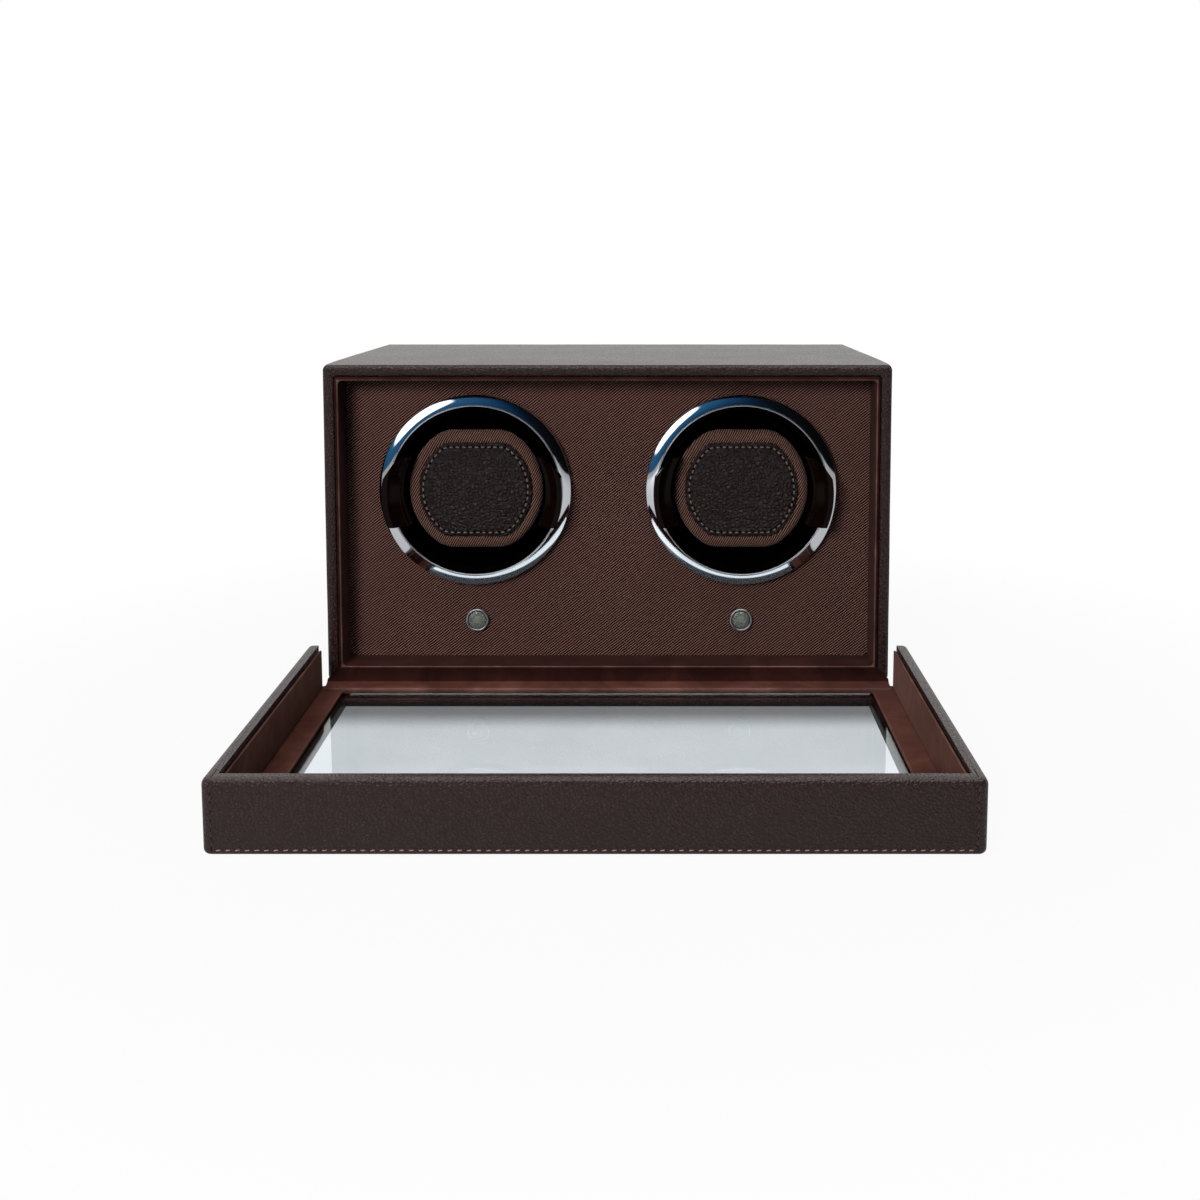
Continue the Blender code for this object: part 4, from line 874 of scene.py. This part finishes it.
def outlineWalk(look, inset, steps=720):
    # Points round the patch at a distance in from its edge, with the length walked so far
    points = []
    for k in range(steps + 1):
        angle = math.tau * k / steps
        reach = flatRound(look["radius"] - inset, look["flat"] - inset, look["soften"], angle)
        points.append(Vector((reach * math.cos(angle), 0, reach * math.sin(angle))))
    lengths = [0.0]
    for before, after in zip(points, points[1:]):
        lengths.append(lengths[-1] + (after - before).length)
    return points, lengths


def surfaceDepth(tree, x, z):
    return tree.ray_cast(Vector((x, -0.05, z)), Vector((0, 1, 0)))[0].y


def patchMesh(look, tree):
    # Leather sewn down near its edge: it sinks along the seam, into a hole at each end of a stitch
    steps = 960
    walked = outlineWalk(look, 0, steps)[1]
    total = walked[-1]
    count = round(total / look["stitchPitch"])
    pitch = total / count
    insets = [0.0, 0.06, 0.15, 0.3, 0.5, 0.75, 1.0] + [1.15 + 0.15 * k for k in range(16)]
    insets += [3.7, 4.1, 4.8, 6, 8, 11, 15, 19, 23]
    rings = []
    for inset in [value * mm for value in insets]:
        ring = []
        for k in range(steps):
            angle = math.tau * k / steps
            beat = math.cos(math.tau * count * walked[k] / total)
            away = (walked[k] + pitch / 2) % pitch - pitch / 2
            reach = flatRound(look["radius"] - inset, look["flat"] - inset, look["soften"], angle)
            reach -= look["scallop"] * beat * math.exp(-inset / look["scallopRun"])
            x, z = reach * math.cos(angle), reach * math.sin(angle)
            rise = look["thickness"]
            if inset < look["edgeRound"]:
                turn = 1 - inset / look["edgeRound"]
                rise -= look["edgeRound"] * (1 - math.sqrt(max(1 - turn * turn, 0)))
            fromSeam = inset - look["seamInset"]
            across = fromSeam / look["seamHalf"]
            if abs(across) < 1:
                rise -= look["seamDepth"] * math.cos(across * math.pi / 2) ** 2
            rise -= look["holeDepth"] * math.exp(-(fromSeam ** 2 + away ** 2) / look["holeRadius"] ** 2)
            rise -= look["pucker"] * beat * math.exp(-abs(fromSeam) / look["puckerRun"])
            ring.append((x, surfaceDepth(tree, x, z) - look["lift"] - max(rise, look["thinnest"]), z))
        rings.append(ring)
    backRing = [(x, surfaceDepth(tree, x, z) - look["lift"] + 0.02 * mm, z) for x, y, z in rings[0]]
    innerBack = [(x / 2, surfaceDepth(tree, x / 2, z / 2) - look["lift"], z / 2) for x, y, z in backRing]
    return loftMesh([innerBack, backRing] + rings), count


def stitchRow(places, look):
    # Short threads as one mesh, each dipping into its holes at both ends; a place is the thread's
    # middle, its direction and the way out of the surface
    length, radius = look["stitchLength"], look["stitchRadius"]
    meshes = []
    for middle, direction, out in places:
        along = direction.normalized()
        sideways = along.cross(out).normalized()
        rings = []
        for share in np.linspace(-1, 1, 9):
            thin = math.sqrt(max(1 - abs(share) ** 3, 0.02))
            centre = middle + along * (length / 2 * share) - out * (radius * 1.5 * share ** 4)
            rings.append([centre + (sideways * math.cos(a) + out * math.sin(a)) * radius * thin
                          for a in np.linspace(0, math.tau, 8, endpoint=False)])
        meshes.append(loftMesh(rings))
    return joinedMesh(meshes)


def seamPlaces(look, count, offset, inset):
    # Points of the seam and its direction there, evenly spaced by the length walked at an inset
    points, lengths = outlineWalk(look, look["seamInset"])[0], outlineWalk(look, inset)[1]
    for number in range(count):
        target = lengths[-1] * (number + offset) / count
        k = next(i for i, walked in enumerate(lengths) if walked >= target)
        yield points[k], points[k] - points[k - 1]


def patchStitches(look, tree, count):
    places = []
    for seam, along in seamPlaces(look, count, 0.5, look["seamInset"]):
        top = surfaceDepth(tree, seam.x, seam.z) - look["lift"] - look["thickness"]
        places.append((Vector((seam.x, top + look["seamDepth"] * 0.5, seam.z)), along, Vector((0, -1, 0))))
    return stitchRow(places, look)


def dented(mesh, look, patch):
    # The seam of the patch draws the cushion in along its edge
    for vertex in mesh.vertices:
        x, y, z = vertex.co
        if y < look["front"] + look["dentReach"] and math.hypot(x, z) > 0.5 * look["radius"]:
            edge = flatRound(patch["radius"], patch["flat"], patch["soften"], math.atan2(z, x))
            away = (math.hypot(x, z) - edge) / look["dentHalf"]
            vertex.co.y += look["dent"] * math.exp(-away * away)
    return mesh


def makeCushions():
    look, patchLook = cushionPiece, patchPiece
    mesh = dented(inflated(cushionMesh(look), look), look, patchLook)
    tree = BVHTree.FromPolygons([v.co for v in mesh.vertices], [tuple(f.vertices) for f in mesh.polygons])
    patch, count = patchMesh(patchLook, tree)
    stitches = patchStitches(patchLook, tree, count)
    holes = KDTree(count)
    for number, (hole, along) in enumerate(seamPlaces(patchLook, count, 0, 0)):
        holes.insert((hole.x, 0, hole.z), number)
    holes.balance()
    reach = patchLook["holeRadius"] * 0.85
    inHole = {face.index for face in patch.polygons
              if face.center.length and holes.find((face.center.x, 0, face.center.z))[2] < reach}
    for side in sides:
        x, z = moduleCentre(side)
        place = Matrix.Translation((x, 0, z))
        body = side + "_cuff"
        cushion = newPiece(side + "CushionTwill", movedMesh(mesh.copy(), place), cushionTwill, body, 80)
        # The cushion's sides behind its front rounding are painted near black: painted shade
        paintFaces(cushion, cushionSideShade, lambda face: face.center.y > look["front"] + look["frontRound"])
        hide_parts(side + "_cushion")
        cover = newPiece(side + "PatchLeather", movedMesh(patch.copy(), place), patchHide, body, 80)
        # Faces inside the stitch holes are painted near black: painted shade
        paintFaces(cover, seamShadow, lambda face: face.index in inHole)
        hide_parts(side + "_patch")
        thread = newPiece(side + "PatchStitching", movedMesh(stitches.copy(), place), threadPatch, body)


# Push buttons: a bright rim, a clear domed lens and the LED that sits under it

buttonPiece = {
    "rim": 5.9 * mm,
    "throat": 4.8 * mm,
    "barrel": 5.3 * mm,
    "seat": 19.7 * mm,
    "lens": 4.5 * mm,
    "crown": 1.3 * mm,
    "lensBack": 23.0 * mm,
    "led": 2.2 * mm,
    "ledFront": 18.6 * mm,
    "ledGap": 0.3 * mm,
}


def makeButton(side):
    look = buttonPiece
    rimLow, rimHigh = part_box(side + "_button_rim")
    lensLow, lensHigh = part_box(side + "_button_lens")
    centre = ((rimLow.x + rimHigh.x) / 2, (rimLow.z + rimHigh.z) / 2)
    front, throat = rimLow.y, look["throat"]
    roll = (look["rim"] - throat) / 2
    profile = [(throat, rimHigh.y), (throat, front + roll),
               *arcPoints((throat + roll, front + roll), roll, 180, 360, 12),
               (look["rim"], look["seat"]), (look["barrel"], look["seat"]), (look["barrel"], rimHigh.y)]
    rim = newPiece(side + "ButtonRimChrome", latheMesh(profile, centre, 96), satinChrome, "root", 60)
    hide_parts(side + "_button_rim")
    radius, top, led, ledFront, gap = look["lens"], lensLow.y, look["led"], look["ledFront"], look["ledGap"]
    profile = [(radius * math.sin(a) * 0.999, top + look["crown"] * (1 - math.cos(a)))
               for a in np.radians(np.linspace(0, 82, 12))]
    profile += [(radius, top + look["crown"] + 0.3 * mm), (radius, look["lensBack"]),
                (led + gap, look["lensBack"]), (led + gap, ledFront + 1 * mm),
                (led * 0.7, ledFront - 0.2 * mm), (0, ledFront - gap)]
    lens = newPiece(side + "ButtonLens", latheMesh(profile, centre, 64, joined=False), lensAcrylic,
                    side + "_button", 50)
    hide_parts(side + "_button_lens")
    profile = [(0, ledFront)]
    profile += [(led * math.sin(a), ledFront + led * (1 - math.cos(a)) * 0.6)
                for a in np.radians((20, 40, 60, 80, 90))]
    profile += [(led, lensHigh.y), (0, lensHigh.y)]
    lamp = newPiece(side + "ButtonLamp", latheMesh(profile, centre, 40, joined=False), lampEpoxy,
                    side + "_button")


# Cover: a leather-wrapped tray with a window, glass under a suede mat, and suede boards inside its walls

coverPiece = {
    "halfWidth": 151.0 * mm,
    "heel": 2.4 * mm,  # from the hinge's axis to the cover's back edge
    "length": 170.2 * mm,
    "under": 10.2 * mm,  # down to the underside and up to the walls' top, from the axis
    "rise": 20.5 * mm,
    "trayHalf": 145.3 * mm,
    "trayLength": 164.5 * mm,
    "deck": -3.2 * mm,
    "wallHeel": 6.0 * mm,
    "corner": 3.6 * mm,
    "topEdge": 3.0 * mm,
    "bottomEdge": 2.2 * mm,
    "softEdge": 1.0 * mm,
    "seamInset": 4.1 * mm,
    "seamWidth": 0.4 * mm,
    "seamDepth": 0.35 * mm,
    "windowHalf": 130.8 * mm,
    "windowStart": 12.5 * mm,
    "windowEnd": 151.5 * mm,
    "glassLap": 4.8 * mm,
    "glassDeck": -5.8 * mm,
    "over": 4 * mm,  # how far the cutters stand past the cover
}


def coverBlock(lowX, highX, nearU, farU, lowV, highV, edge=0.0, segments=3):
    return blockMesh((lowX, -farU, lowV), (highX, -nearU, highV), edge, segments)


def wrappedBlock(low, high, look):
    # Full corners, a padded top edge, and a tighter turn at the foot
    shape = bmesh.new()
    shape.from_mesh(blockMesh(low, high))
    upright = [edge for edge in shape.edges if abs(edge.verts[0].co.z - edge.verts[1].co.z) > look["rise"]]
    roundEdges(shape, upright, look["corner"], 6)
    for level, width in ((high[2], look["topEdge"]), (low[2], look["bottomEdge"])):
        ring = [edge for edge in shape.edges if all(abs(v.co.z - level) < 0.01 * mm for v in edge.verts)]
        roundEdges(shape, ring, width, 5)
    return asMesh(shape)


def makeCover():
    look = coverPiece
    half, tray, window, lap, over = (
        look["halfWidth"], look["trayHalf"], look["windowHalf"], look["glassLap"], look["over"])
    length, deck, low, high = look["length"], look["deck"], -look["under"], look["rise"]
    body = wrappedBlock((-half, -length, low), (half, -look["heel"], high), look)
    cuts = [coverBlock(-tray, tray, -over, look["trayLength"], deck, high + over),
            coverBlock(-half - over, half + over, -over, look["wallHeel"], deck, high + over),
            coverBlock(-window, window, look["windowStart"], look["windowEnd"], low - over, deck + over),
            coverBlock(-window - lap, window + lap, look["windowStart"] - lap, look["windowEnd"] + lap,
                       look["glassDeck"], deck + over)]
    slit = look["seamWidth"] / 2
    for sign in sides.values():
        x = sign * (half - look["seamInset"])
        cuts += [coverBlock(x - slit, x + slit, length - look["seamDepth"], length + over,
                            low - over, high + over),
                 coverBlock(x - slit, x + slit, look["trayLength"] - over, length + over,
                            high - look["seamDepth"], high + over)]
    mesh = bevelled(carved(body, cuts), look["softEdge"], 3, 50)
    mesh.transform(coverSpace)
    piece = newPiece("coverLeather", mesh, caseHide, "cover", 45)
    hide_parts("cover_frame")


matPiece = {
    "half": 145.0 * mm,
    "near": 2.4 * mm,
    "far": 164.2 * mm,
    "windowHalf": 133.0 * mm,
    "windowNear": 9.9 * mm,
    "windowFar": 153.4 * mm,
    "top": -1.5 * mm,
    "bottom": -2.9 * mm,
    "roll": 0.65 * mm,
}


def makeMat():
    look = matPiece
    roll, top, bottom = look["roll"], look["top"], look["bottom"]
    # Each ring: share of the way from the outer edge to the window, extra inset, height, corner radius
    stations = [(0, 0, bottom, 0.6), (0, 0, top - roll, 0.6), (0, roll * 0.3, top - roll * 0.3, 0.8),
                (0, roll, top, 1.0), (0.33, 0, top, 1.2), (0.66, 0, top, 1.3)]
    stations += [(1, -roll + roll * math.sin(a), top - roll + roll * math.cos(a), 1.5)
                 for a in np.radians(np.arange(0, 91, 15))]
    stations += [(1, 0, bottom, 1.5)]
    rings = []
    for share, extra, v, corner in stations:
        half = look["half"] + (look["windowHalf"] - look["half"]) * share - extra
        near = look["near"] + (look["windowNear"] - look["near"]) * share + extra
        far = look["far"] + (look["windowFar"] - look["far"]) * share - extra
        outline = roundedRectangle((-half, -far), (half, -near), corner * mm, (30, 18), 5)
        rings.append([(x, y, v) for x, y in outline])
    mesh = loftMesh(rings, joined=True)
    mesh.transform(coverSpace)
    piece = newPiece("coverMatSuede", mesh, liningSuede, "cover")

    def atWindow(face):
        x, y = abs(face.center.x), -face.center.y
        return (x < look["windowHalf"] + 0.5 * mm and y > look["windowNear"] - 0.5 * mm
                and face.normal.z > 0.5)

    # The mat's rolled edge at the window takes the paler suede: a painted highlight
    paintFaces(piece, paintedHighlightSuede, atWindow)
    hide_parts("cover_mat")


wallLiningPiece = {
    "face": 143.8 * mm,
    "back": 145.0 * mm,
    "near": 6.0 * mm,
    "frontFace": 163.0 * mm,
    "frontBack": 164.2 * mm,
    "endGap": 0.3 * mm,
    "low": -1.2 * mm,
    "top": 18.0 * mm,
    "soft": 0.5 * mm,
}


def makeWallLining(name, replaced, lowX, highX, nearU):
    # A board in suede; its faces that face up take the paler suede, a painted highlight where the suede turns
    # over the board's edge
    look = wallLiningPiece
    mesh = coverBlock(lowX, highX, nearU, look["frontBack"], look["low"], look["top"], look["soft"], 4)
    mesh.transform(coverSpace)
    piece = newPiece(name, mesh, liningSuede, "cover")
    paintFaces(piece, paintedHighlightSuede, lambda face: face.normal.z > 0.6)
    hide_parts(replaced)


def makeWallLinings():
    look = wallLiningPiece
    for side, sign in sides.items():
        lowX, highX = sorted((sign * look["face"], sign * look["back"]))
        makeWallLining("coverLiningSuede" + side.capitalize(), "cover_lining_" + side,
                       lowX, highX, look["near"])
    half = look["face"] - look["endGap"]
    makeWallLining("coverLiningSuedeFront", "cover_lining_front", -half, half, look["frontFace"])


# Stitching on the cover's walls

coverStitch = {
    "stitchLength": 2.5 * mm,
    "stitchRadius": 0.3 * mm,
    "pitch": 3.7 * mm,
    "rowHalf": 144.5 * mm,
    "rowHeight": -7.9 * mm,
    "rowEnd": 6 * mm,
    "postLow": -5.0 * mm,
    "postHigh": 16.5 * mm,
    "postPitch": 3.8 * mm,
    "slant": 0.10,
    "postSlant": 0.06,
    "sink": 0.08 * mm,
}


def stitchLine(start, end, pitch, direction, out):
    # Places of stitches at a pitch along a straight line, its ends among them
    start, end = Vector(start), Vector(end)
    count = round((end - start).length / pitch)
    return [(start + (end - start) * (k / count), Vector(direction), Vector(out)) for k in range(count + 1)]


def coverStitches():
    look, cover = coverStitch, coverPiece
    half, height, slant = look["rowHalf"], look["rowHeight"], look["slant"]
    frontY = -cover["length"] + look["sink"]
    rows = stitchLine((-half, frontY, height), (half, frontY, height), look["pitch"],
                      (1, 0, slant), (0, -1, 0))
    posts = []
    for sign in sides.values():
        x = sign * (cover["halfWidth"] - cover["seamInset"])
        posts += stitchLine((x, frontY, look["postLow"]), (x, frontY, look["postHigh"]), look["postPitch"],
                            (look["postSlant"], 0, 1), (0, -1, 0))
        wallX = sign * (cover["halfWidth"] - look["sink"])
        rows += stitchLine((wallX, -cover["heel"] - look["rowEnd"], height),
                           (wallX, -cover["length"] + look["rowEnd"], height), look["pitch"],
                           (0, 1, slant), (sign, 0, 0))
    for name, places, thread in (("coverStitching", rows, threadBrown),
                                 ("coverSeamStitching", posts, threadDark)):
        mesh = stitchRow(places, look)
        mesh.transform(coverSpace)
        piece = newPiece(name, mesh, thread, "cover")


# Hinge cloth: one strip of suede glued to the case's lower edge and to the cover's mat, over the hinge

hingeClothPiece = {
    "top": 22.3 * mm,
    "topHalf": 136.9 * mm,
    "lowHalf": 142.4 * mm,
    "mitreEnd": 16.6 * mm,
    "caseFace": -0.15 * mm,
    "coverFace": -0.5 * mm,
    "coverStart": 0.6 * mm,  # past the bend
    "coverEnd": 9.1 * mm,
    "hem": ((0.35, -0.2), (0.6, -0.5), (0.65, -0.95)),
    "thickness": 0.25 * mm,
    "bendRadius": 5 * mm,
    "columns": 60,
}


def coverPoint(u, v):
    # (y, z) of a place in the opened cover: u forward of the hinge's axis and v above it
    return (-u * math.cos(coverTilt) - v * math.sin(coverTilt),
            hingeZ - u * math.sin(coverTilt) + v * math.cos(coverTilt))


def hingeClothPath(look):
    # (y, z) down the case's edge, round the bend, along the mat and over the mat's window edge
    bend, face, level = look["bendRadius"], look["caseFace"], coverPoint(0, look["coverFace"])[1]
    path = [(face, z) for z in np.linspace(look["top"], level + bend, 6)[:-1]]
    path += arcPoints((face - bend, level + bend), bend, 0, -90, 10)
    path += [coverPoint(u, look["coverFace"])
             for u in np.linspace(bend + look["coverStart"], look["coverEnd"], 4)]
    path += [coverPoint(look["coverEnd"] + onward * mm, look["coverFace"] + down * mm)
             for onward, down in look["hem"]]
    return path, level + bend


def makeHingeCloth():
    look = hingeClothPiece
    path, bendTop = hingeClothPath(look)
    bend, columns = look["bendRadius"], look["columns"]
    points, faces = [], []
    for y, z in path:
        share = min(max((look["top"] - z) / (look["top"] - look["mitreEnd"]), 0), 1)
        half = look["topHalf"] + (look["lowHalf"] - look["topHalf"]) * share
        points += [(half * (2 * k / columns - 1), y, z) for k in range(columns + 1)]
    for i in range(len(path) - 1):
        for k in range(columns):
            a = i * (columns + 1) + k
            faces.append((a, a + 1, a + columns + 2, a + columns + 1))
    mesh = modified(facedMesh(points, faces), "SOLIDIFY", thickness=look["thickness"], offset=0)
    piece = newPiece("hingeClothSuede", mesh, liningSuede, None)
    # The part of the strip up the case's edge takes the darker suede: painted shade on the upright faces,
    # where less light falls
    paintFaces(piece, shadedSuede, lambda face: face.center.z > bendTop - 0.75 * bend)
    # The hem over the mat's window edge takes the paler suede: a painted highlight
    paintFaces(piece, paintedHighlightSuede, lambda face: face.center.y < -look["coverEnd"])
    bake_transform(piece)
    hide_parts("hinge_cloth_case", "hinge_cloth_cover")


print("case")
makeCase()
makeLining()
print("modules")
for side in sides:
    makeBezel(side)
    makeDrum(side)
    makeCuff(side)
    makeButton(side)
makeCushions()
print("cover")
makeCover()
makeMat()
makeWallLinings()
coverStitches()
makeHingeCloth()

print("frame nodes")
dressNodes(panelTwill, "front_panel")
dressNodes(windowGlass, "cover_glass")
dressNodes(backBoard, "back_panel")
dressNodes(footRubber, *["foot_" + end + "_" + side for end in ("front", "back") for side in sides])
dressNodes(blackPolymer, "power_socket", *[side + part for side in sides
                                           for part in ("_well_housing", "_rear_plate", "_switch")])
dressNodes(platedSteel, "case_magnet", "cover_magnet", "case_hinge_leaf", "cover_hinge_leaf", "hinge_pin",
           *["back_screw_" + str(number) for number in range(1, 5)],
           *[side + part for side in sides for part in ("_spindle", "_motor", "_motor_bracket")])
dressNodes(gearNylon, *[side + part for side in sides for part in ("_drive_gear", "_pinion")])
dressNodes(bushBronze, "left_bush", "right_bush")
dressNodes(boardLaminate, "control_board")


# Studio: white sweep, a large soft light at the upper left, and what the chrome and the glass see

studio = {
    "floorSize": 6.0,
    "keyPlace": (-0.46, -1.32, 0.58),
    "keySize": 0.4,
    "keyPower": 20,
    "topPlace": (0.0, -0.28, 1.4),
    "topSize": 0.5,
    "topPower": 13,
    "aim": (0, 0.05, 0.08),
    # What mirrors see in the world; pairs are where a soft change starts and ends along a direction
    "worldLevel": 0.09,
    "room": [(0.45, "#080809"), (0.68, "#0A1015"), (0.76, "#0C2033"), (0.83, "#163A5A"), (0.95, "#2C5C80")],
    "windowDirection": (-0.531, -0.751, 0.391),
    "pane": (0.955, 0.968),
    "paneGlow": 2.2,
    "sill": (0.07, 0.13),
    "behind": (0.1, 0.5),
    "card": (0.68, 0.85),
    "cardGlow": 2.6,
    "mirrorDepth": 2.5,  # a ray that has met more surfaces than this came by way of a mirror
    # The floor: its own white, and its glow for the eye, for mirrors and through the glass
    "floorBase": 0.35,
    "shadowReach": (0.22, 0.5),
    "floorGlow": (0.94, 1.0),
    "mirrorGlow": 0.35,
    # Painted shadow and painted light on the floor seen through the glass: darker towards the hinge, and for
    # mirrors bright at the front and dark further in
    "hingeShade": (-0.036, -0.006),
    "glassGlow": (1.0, 0.3),
    "mirrorShade": (-0.085, -0.07),
    "mirrorGlassGlow": (1.4, 0.03),
    # The camera, as the edges of the photographed case and cover place it
    "cameraPlace": (0.02056, -0.6669, 0.2260),
    "cameraDown": 4.72,
    "lens": 40.19,
    "shift": (-0.0404, -0.18675),
}
plainWhite = (1, 1, 1, 1)


def makeFloor():
    half = studio["floorSize"] / 2
    mesh = bpy.data.meshes.new("studioFloor")
    corners = [(-half, -half, 0), (half, -half, 0), (half, half, 0), (-half, half, 0)]
    mesh.from_pydata(corners, [], [(0, 1, 2, 3)])
    floor = inScene("studioFloor", mesh)
    material, tree, shader, place = newMaterial(
        "whiteSweep", Base_Color=(studio["floorBase"],) * 3 + (1,), Roughness=0.9)
    rays = addNode(tree, "LightPath").outputs
    distance = addNode(tree, "VectorMath", {0: place}, operation="LENGTH").outputs["Value"]
    across = addNode(tree, "SeparateXYZ", {0: place}).outputs["Y"]
    # Near the object the floor keeps its shadow; further off it is the plain white of the sweep. Seen
    # through the glass it glows, with a painted shadow that darkens it under the hinge; a mirror that looks
    # through the glass, which takes a ray more, sees it with painted light and shade, bright near the front
    # and dark further in
    changes = []
    for source, reach, glow in ((distance, "shadowReach", "floorGlow"), (across, "hingeShade", "glassGlow"),
                                (across, "mirrorShade", "mirrorGlassGlow")):
        (start, end), (near, far) = studio[reach], studio[glow]
        changes.append(addNode(tree, "MapRange", {
            "Value": source, "From Min": start, "From Max": end, "To Min": near, "To Max": far},
            interpolation_type="SMOOTHSTEP"))
    shown, direct, mirrored = changes
    share = addNode(tree, "Math", {0: rays["Is Camera Ray"], 1: shown}, operation="MULTIPLY")
    for name, level in (("Is Glossy Ray", studio["mirrorGlow"]), ("Is Transmission Ray", 1.0)):
        part = addNode(tree, "Math", {0: rays[name], 1: level}, operation="MULTIPLY")
        share = addNode(tree, "Math", {0: share, 1: part}, operation="MAXIMUM")
    byMirror = addNode(tree, "Math", {0: rays["Ray Depth"], 1: studio["mirrorDepth"]},
                       operation="GREATER_THAN")
    through = addNode(tree, "Mix", {0: byMirror, 2: direct, 3: mirrored})
    strength = addNode(tree, "Mix", {0: rays["Is Transmission Ray"], 2: 1.0, 3: through})
    shine = addNode(tree, "Emission", {"Color": plainWhite, "Strength": strength})
    surface = addNode(tree, "MixShader", {0: share, 1: shader, 2: shine})
    setSockets(tree.nodes["Material Output"], {"Surface": surface})
    mesh.materials.append(material)


def makeWorld():
    world = bpy.data.worlds.new("studioWorld")
    bpy.context.scene.world = world
    world.use_nodes = True
    tree = world.node_tree
    soft = tree.nodes["Background"]
    setSockets(soft, {"Color": linear("#F4F6FA"), "Strength": studio["worldLevel"]})
    rays = addNode(tree, "LightPath").outputs
    direction = addNode(tree, "TexCoord").outputs["Generated"]
    split = addNode(tree, "SeparateXYZ", {0: direction}).outputs
    # What mirrors see: a dark room, the white sweep behind, a tall window on the left with blue sky
    # round it, and a white card overhead, which a ray that has met a mirror before doesn't see
    toward = addNode(tree, "VectorMath", {0: direction, 1: studio["windowDirection"]},
                     operation="DOT_PRODUCT").outputs["Value"]
    shares = {}
    for name, source in (("pane", toward), ("sill", split["Z"]), ("card", split["Z"]),
                         ("behind", split["Y"])):
        start, end = studio[name]
        shares[name] = addNode(tree, "MapRange", {"Value": source, "From Min": start, "From Max": end},
                               interpolation_type="SMOOTHSTEP")
    window = addNode(tree, "Math", {0: shares["pane"], 1: shares["sill"]}, operation="MULTIPLY")
    direct = addNode(tree, "Math", {0: rays["Ray Depth"], 1: studio["mirrorDepth"]},
                     operation="LESS_THAN")
    card = addNode(tree, "Math", {0: shares["card"], 1: direct}, operation="MULTIPLY")
    mirrored = addNode(tree, "ValToRGB", {"Fac": toward}, studio["room"])
    for share, level in ((shares["behind"], 1.0), (window, studio["paneGlow"]), (card, studio["cardGlow"])):
        mirrored = addNode(tree, "MixRGB", {"Fac": share, "Color1": mirrored, "Color2": (level,) * 3 + (1,)})
    mirrors = addNode(tree, "Background", {"Color": mirrored, "Strength": 1.0})
    white = addNode(tree, "Background", {"Color": plainWhite, "Strength": 1.0})
    lit = addNode(tree, "MixShader", {0: rays["Is Glossy Ray"], 1: soft, 2: mirrors})
    seen = addNode(tree, "Math", {0: rays["Is Camera Ray"], 1: rays["Is Transmission Ray"]},
                   operation="MAXIMUM")
    surface = addNode(tree, "MixShader", {0: seen, 1: lit, 2: white})
    setSockets(tree.nodes["World Output"], {"Surface": surface})


def makeLamp(name):
    # A square soft light; mirrors and glass don't see it, because the world gives them their own
    lamp = bpy.data.lights.new(name + "Softbox", "AREA")
    lamp.shape = "SQUARE"
    lamp.size = studio[name + "Size"]
    lamp.energy = studio[name + "Power"]
    obj = inScene(name + "Softbox", lamp)
    obj.location = studio[name + "Place"]
    obj.rotation_euler = (Vector(studio["aim"]) - obj.location).to_track_quat("-Z", "Y").to_euler()
    obj.visible_glossy = obj.visible_transmission = False


def makeCamera():
    camera = bpy.data.cameras.new("studioCamera")
    camera.sensor_width = 36
    camera.lens = studio["lens"]
    camera.shift_x, camera.shift_y = studio["shift"]
    camera.clip_start = 0.01
    obj = inScene("studioCamera", camera)
    obj.location = studio["cameraPlace"]
    obj.rotation_euler = (math.radians(90 - studio["cameraDown"]), 0, 0)
    bpy.context.scene.camera = obj


print("studio")
makeFloor()
makeWorld()
makeLamp("key")
makeLamp("top")
makeCamera()
bpy.context.scene.view_settings.view_transform = "Standard"
